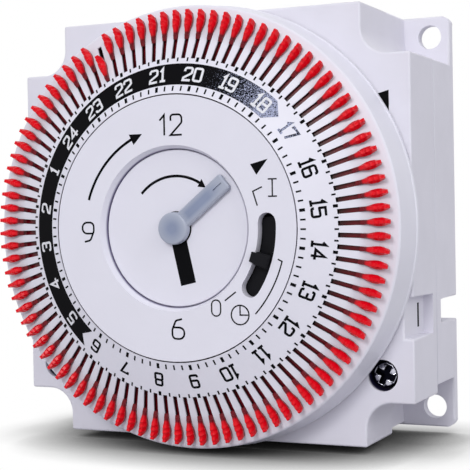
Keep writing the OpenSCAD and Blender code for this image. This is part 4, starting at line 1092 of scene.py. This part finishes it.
class MakeMinuteHand(bpy.types.Operator):
    """The tinted minute hand with its hub"""

    bl_idname = "timer.make_minute_hand"
    bl_label = "Minute hand"

    def execute(self, context):
        size, finish = settings(context, "face", "finish")
        low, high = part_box("minute_hand")
        bottom, top, hub = -high[1] / MM, -low[1] / MM, -low[0] / MM
        bore, floor = 1.02, bottom + 0.85
        bm = bmesh.new()
        lathe(bm, [(0.0, top), (hub - 0.35, top), (hub - 0.15, top - 0.06), (hub - 0.04, top - 0.16),
                   (hub, top - 0.3), (hub, bottom), (bore, bottom), (bore, floor), (0.0, floor)], 64)
        parts = [finish_mesh(bm, "hub", 40), self.arm(size, bottom)]
        bm = bmesh.new()
        for part in parts:
            bm.from_mesh(part)
        mesh = bpy.data.meshes.new("minute_hand")
        bm.to_mesh(mesh)
        bm.free()
        mould("minute_hand", hand_plastic("hand_plastic", finish.hand, size.hand_turn), "minute",
              mesh)
        return {"FINISHED"}

    def arm(self, size, bottom):
        """The arm with its chamfered edge and the fine groove near its tip."""
        wide, long, root = size.hand_width / MM / 2, size.hand_length / MM, 1.5
        edge, corner, top = 0.2, 0.35, bottom + 0.9
        page = flat(0, 0, 0, size.hand_turn)

        def ring(inset, radius, height):
            reach, side = long - inset, wide - inset
            path = fillet(oblong(root, -side, reach, side), (0.0, radius, radius, 0.0), True)
            return [page(u, v, height) for u, v in path]

        bm, groove = bmesh.new(), bmesh.new()
        shell(bm, [ring(0.0, corner, bottom), ring(0.0, corner, top - edge), ring(edge, corner - 0.1, top)])
        prism(groove, oblong(long - 2.3, -0.11, long - 0.6, 0.11), page, top - 0.2, top + 0.2)
        return carve(finish_mesh(bm, "arm"), finish_mesh(groove, "groove"), 20)


class MakeOverride(bpy.types.Operator):
    """The black override lever behind the curved slot"""

    bl_idname = "timer.make_override"
    bl_label = "Override lever"

    def execute(self, context):
        finish, = settings(context, "finish")
        black = moulded("lever_plastic", finish.lever, 0.55, 0.1, specular=0.1)
        piece = mould("override_lever", black, "override")
        round_edges(piece, FINE_EDGE, lambda a, b: min(a[2], b[2]) > LEVER_FACE)
        return {"FINISHED"}


class MakeWorks(bpy.types.Operator):
    """Finishes for the wheels, the stepper motor, the board, the switch and the terminals"""

    bl_idname = "timer.make_works"
    bl_label = "Works"

    def execute(self, context):
        for finish, nodes in (
                (moulded("wheel_plastic", (0.78, 0.74, 0.62), 0.4),
                 "dial_ring_gear hour_wheel motion_wheel drive_wheel third_wheel second_wheel "
                 "movement_plate"),
                (metal("bright_steel", (0.62, 0.62, 0.64), 0.28),
                 "plate_screws trip_spring minute_arbor drive_arbor wheel_pins rotor_arbor trip_pin "
                 "override_washer clutch_spring crystal reserve_battery stator"),
                (metal("brass", (0.78, 0.6, 0.3), 0.3, 0.1, (1, 12, 1)),
                 "cannon_pinion drive_pinion clutch_wheel contact_blade common_terminal make_terminal "
                 "break_terminal supply_terminals"),
                (metal("copper_wire", (0.72, 0.36, 0.18), 0.35, 0.3, (40, 1, 1)), "coil_winding"),
                (moulded("ferrite", (0.04, 0.04, 0.045), 0.5, 0.2), "rotor_magnet"),
                (moulded("board_laminate", (0.02, 0.2, 0.08), 0.35, 0.15, 0.4), "circuit_board"),
                (moulded("capacitor_coat", (0.7, 0.22, 0.03), 0.25, 0.08), "supply_capacitor"),
                (moulded("switch_plastic", (0.16, 0.16, 0.18), 0.5), "switch_case switch_lid trip_lever"),
                (moulded("black_plastic", (0.02, 0.02, 0.022), 0.45, 0.15), "control_chip coil_bobbin"),
                (moulded("plunger_plastic", (0.6, 0.02, 0.02), 0.4), "plunger")):
            for name in nodes.split():
                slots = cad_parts[name].data.materials
                slots.clear()
                slots.append(finish)
        return {"FINISHED"}


class MakeStage(bpy.types.Operator):
    """Floor, lamps, sky and camera"""

    bl_idname = "timer.make_stage"
    bl_label = "Stage"

    def execute(self, context):
        scene, stage = context.scene, context.scene.timer_stage
        size, low = 6.0, CAD_BOX[0][2] - stage.floor_gap
        mesh = bpy.data.meshes.new("floor")
        mesh.from_pydata([(x, y, low) for x, y in oblong(-size, -size, size, size)], [], [(0, 1, 2, 3)])
        mesh.materials.append(floor_paint(stage))
        link("floor", mesh)
        aim = Vector(stage.aim)
        for name, offset, size, power in (("key", Vector((0.05, -0.68, 0.3)), 0.2, stage.key),
                                          ("fill", Vector((0.7, -0.25, 0.4)), 0.4, stage.fill)):
            light = bpy.data.lights.new(name, "AREA")
            light.shape, light.size, light.energy = "SQUARE", size, power
            lamp = link(name, light)
            lamp.location = aim + offset
            lamp.rotation_euler = (-offset).to_track_quat("-Z", "Y").to_euler()
        self.sky(scene, stage)
        self.camera(scene, stage, aim)
        scene.view_settings.view_transform = "Standard"
        return {"FINISHED"}

    def sky(self, scene, stage):
        """A sky that is brighter above and to the right, and plain white where the camera looks."""
        scene.world = bpy.data.worlds.new("sky")
        scene.world.use_nodes = True
        graph = Graph(scene.world.node_tree)
        graph.nodes.clear()
        way = graph.add("TexCoord", out="Generated")
        lean = graph.vector("DOT_PRODUCT", "Value", way, tuple(stage.sky_lean))
        light = {"Color": (0.95, 0.96, 1.0, 1), "Strength": graph.calc("ADD", lean, stage.sky)}
        plain = graph.add("Background", light)
        white = graph.add("Background", {"Color": (1, 1, 1, 1)})
        both = graph.add("MixShader", {"Fac": graph.seen_rays(), 1: plain, 2: white})
        graph.feed(graph.nodes.new("ShaderNodeOutputWorld").inputs["Surface"], both)

    def camera(self, scene, stage, aim):
        """The camera, turned and raised round its target and then rolled."""
        data = bpy.data.cameras.new("camera")
        data.lens, data.sensor_width, data.clip_start = stage.lens, 36, 0.01
        scene.camera = link("camera", data)
        scene.camera.matrix_world = (
            Matrix.Translation(aim) @ Matrix.Rotation(stage.azimuth, 4, "Z")
            @ Matrix.Rotation(pi / 2 - stage.elevation, 4, "X") @ Matrix.Rotation(stage.roll, 4, "Z")
            @ Matrix.Translation((0, 0, stage.distance)))


class TIMER_PT_build(bpy.types.Panel):
    """Lists the pieces and their sizes"""

    bl_idname = "TIMER_PT_build"
    bl_label = "Timer module"
    bl_space_type = "VIEW_3D"
    bl_region_type = "UI"
    bl_category = "Timer"

    def draw(self, context):
        for operator in OPERATORS:
            self.layout.operator(operator.bl_idname)
        for name, group in GROUPS.items():
            box = self.layout.box()
            box.label(text=group.__doc__)
            for prop in group.__annotations__:
                box.prop(getattr(context.scene, name), prop)


OPERATORS = (MakeHousing, MakeScrews, MakeDial, MakeTappets, MakeDialPrint, MakeCentreFace, MakeHourDisc,
             MakeMinuteHand, MakeOverride, MakeWorks, MakeStage)
CLASSES = (*GROUPS.values(), *OPERATORS, TIMER_PT_build)


def register():
    for cls in CLASSES:
        bpy.utils.register_class(cls)
    for name, group in GROUPS.items():
        setattr(bpy.types.Scene, name, PointerProperty(type=group))


def unregister():
    for name in GROUPS:
        delattr(bpy.types.Scene, name)
    for cls in reversed(CLASSES):
        bpy.utils.unregister_class(cls)


def main():
    register()
    printed("ink", bpy.context.scene.timer_finish.ink)
    for operator in OPERATORS:
        group, name = operator.bl_idname.split(".")
        getattr(getattr(bpy.ops, group), name)()


if __name__ == "__main__":
    main()
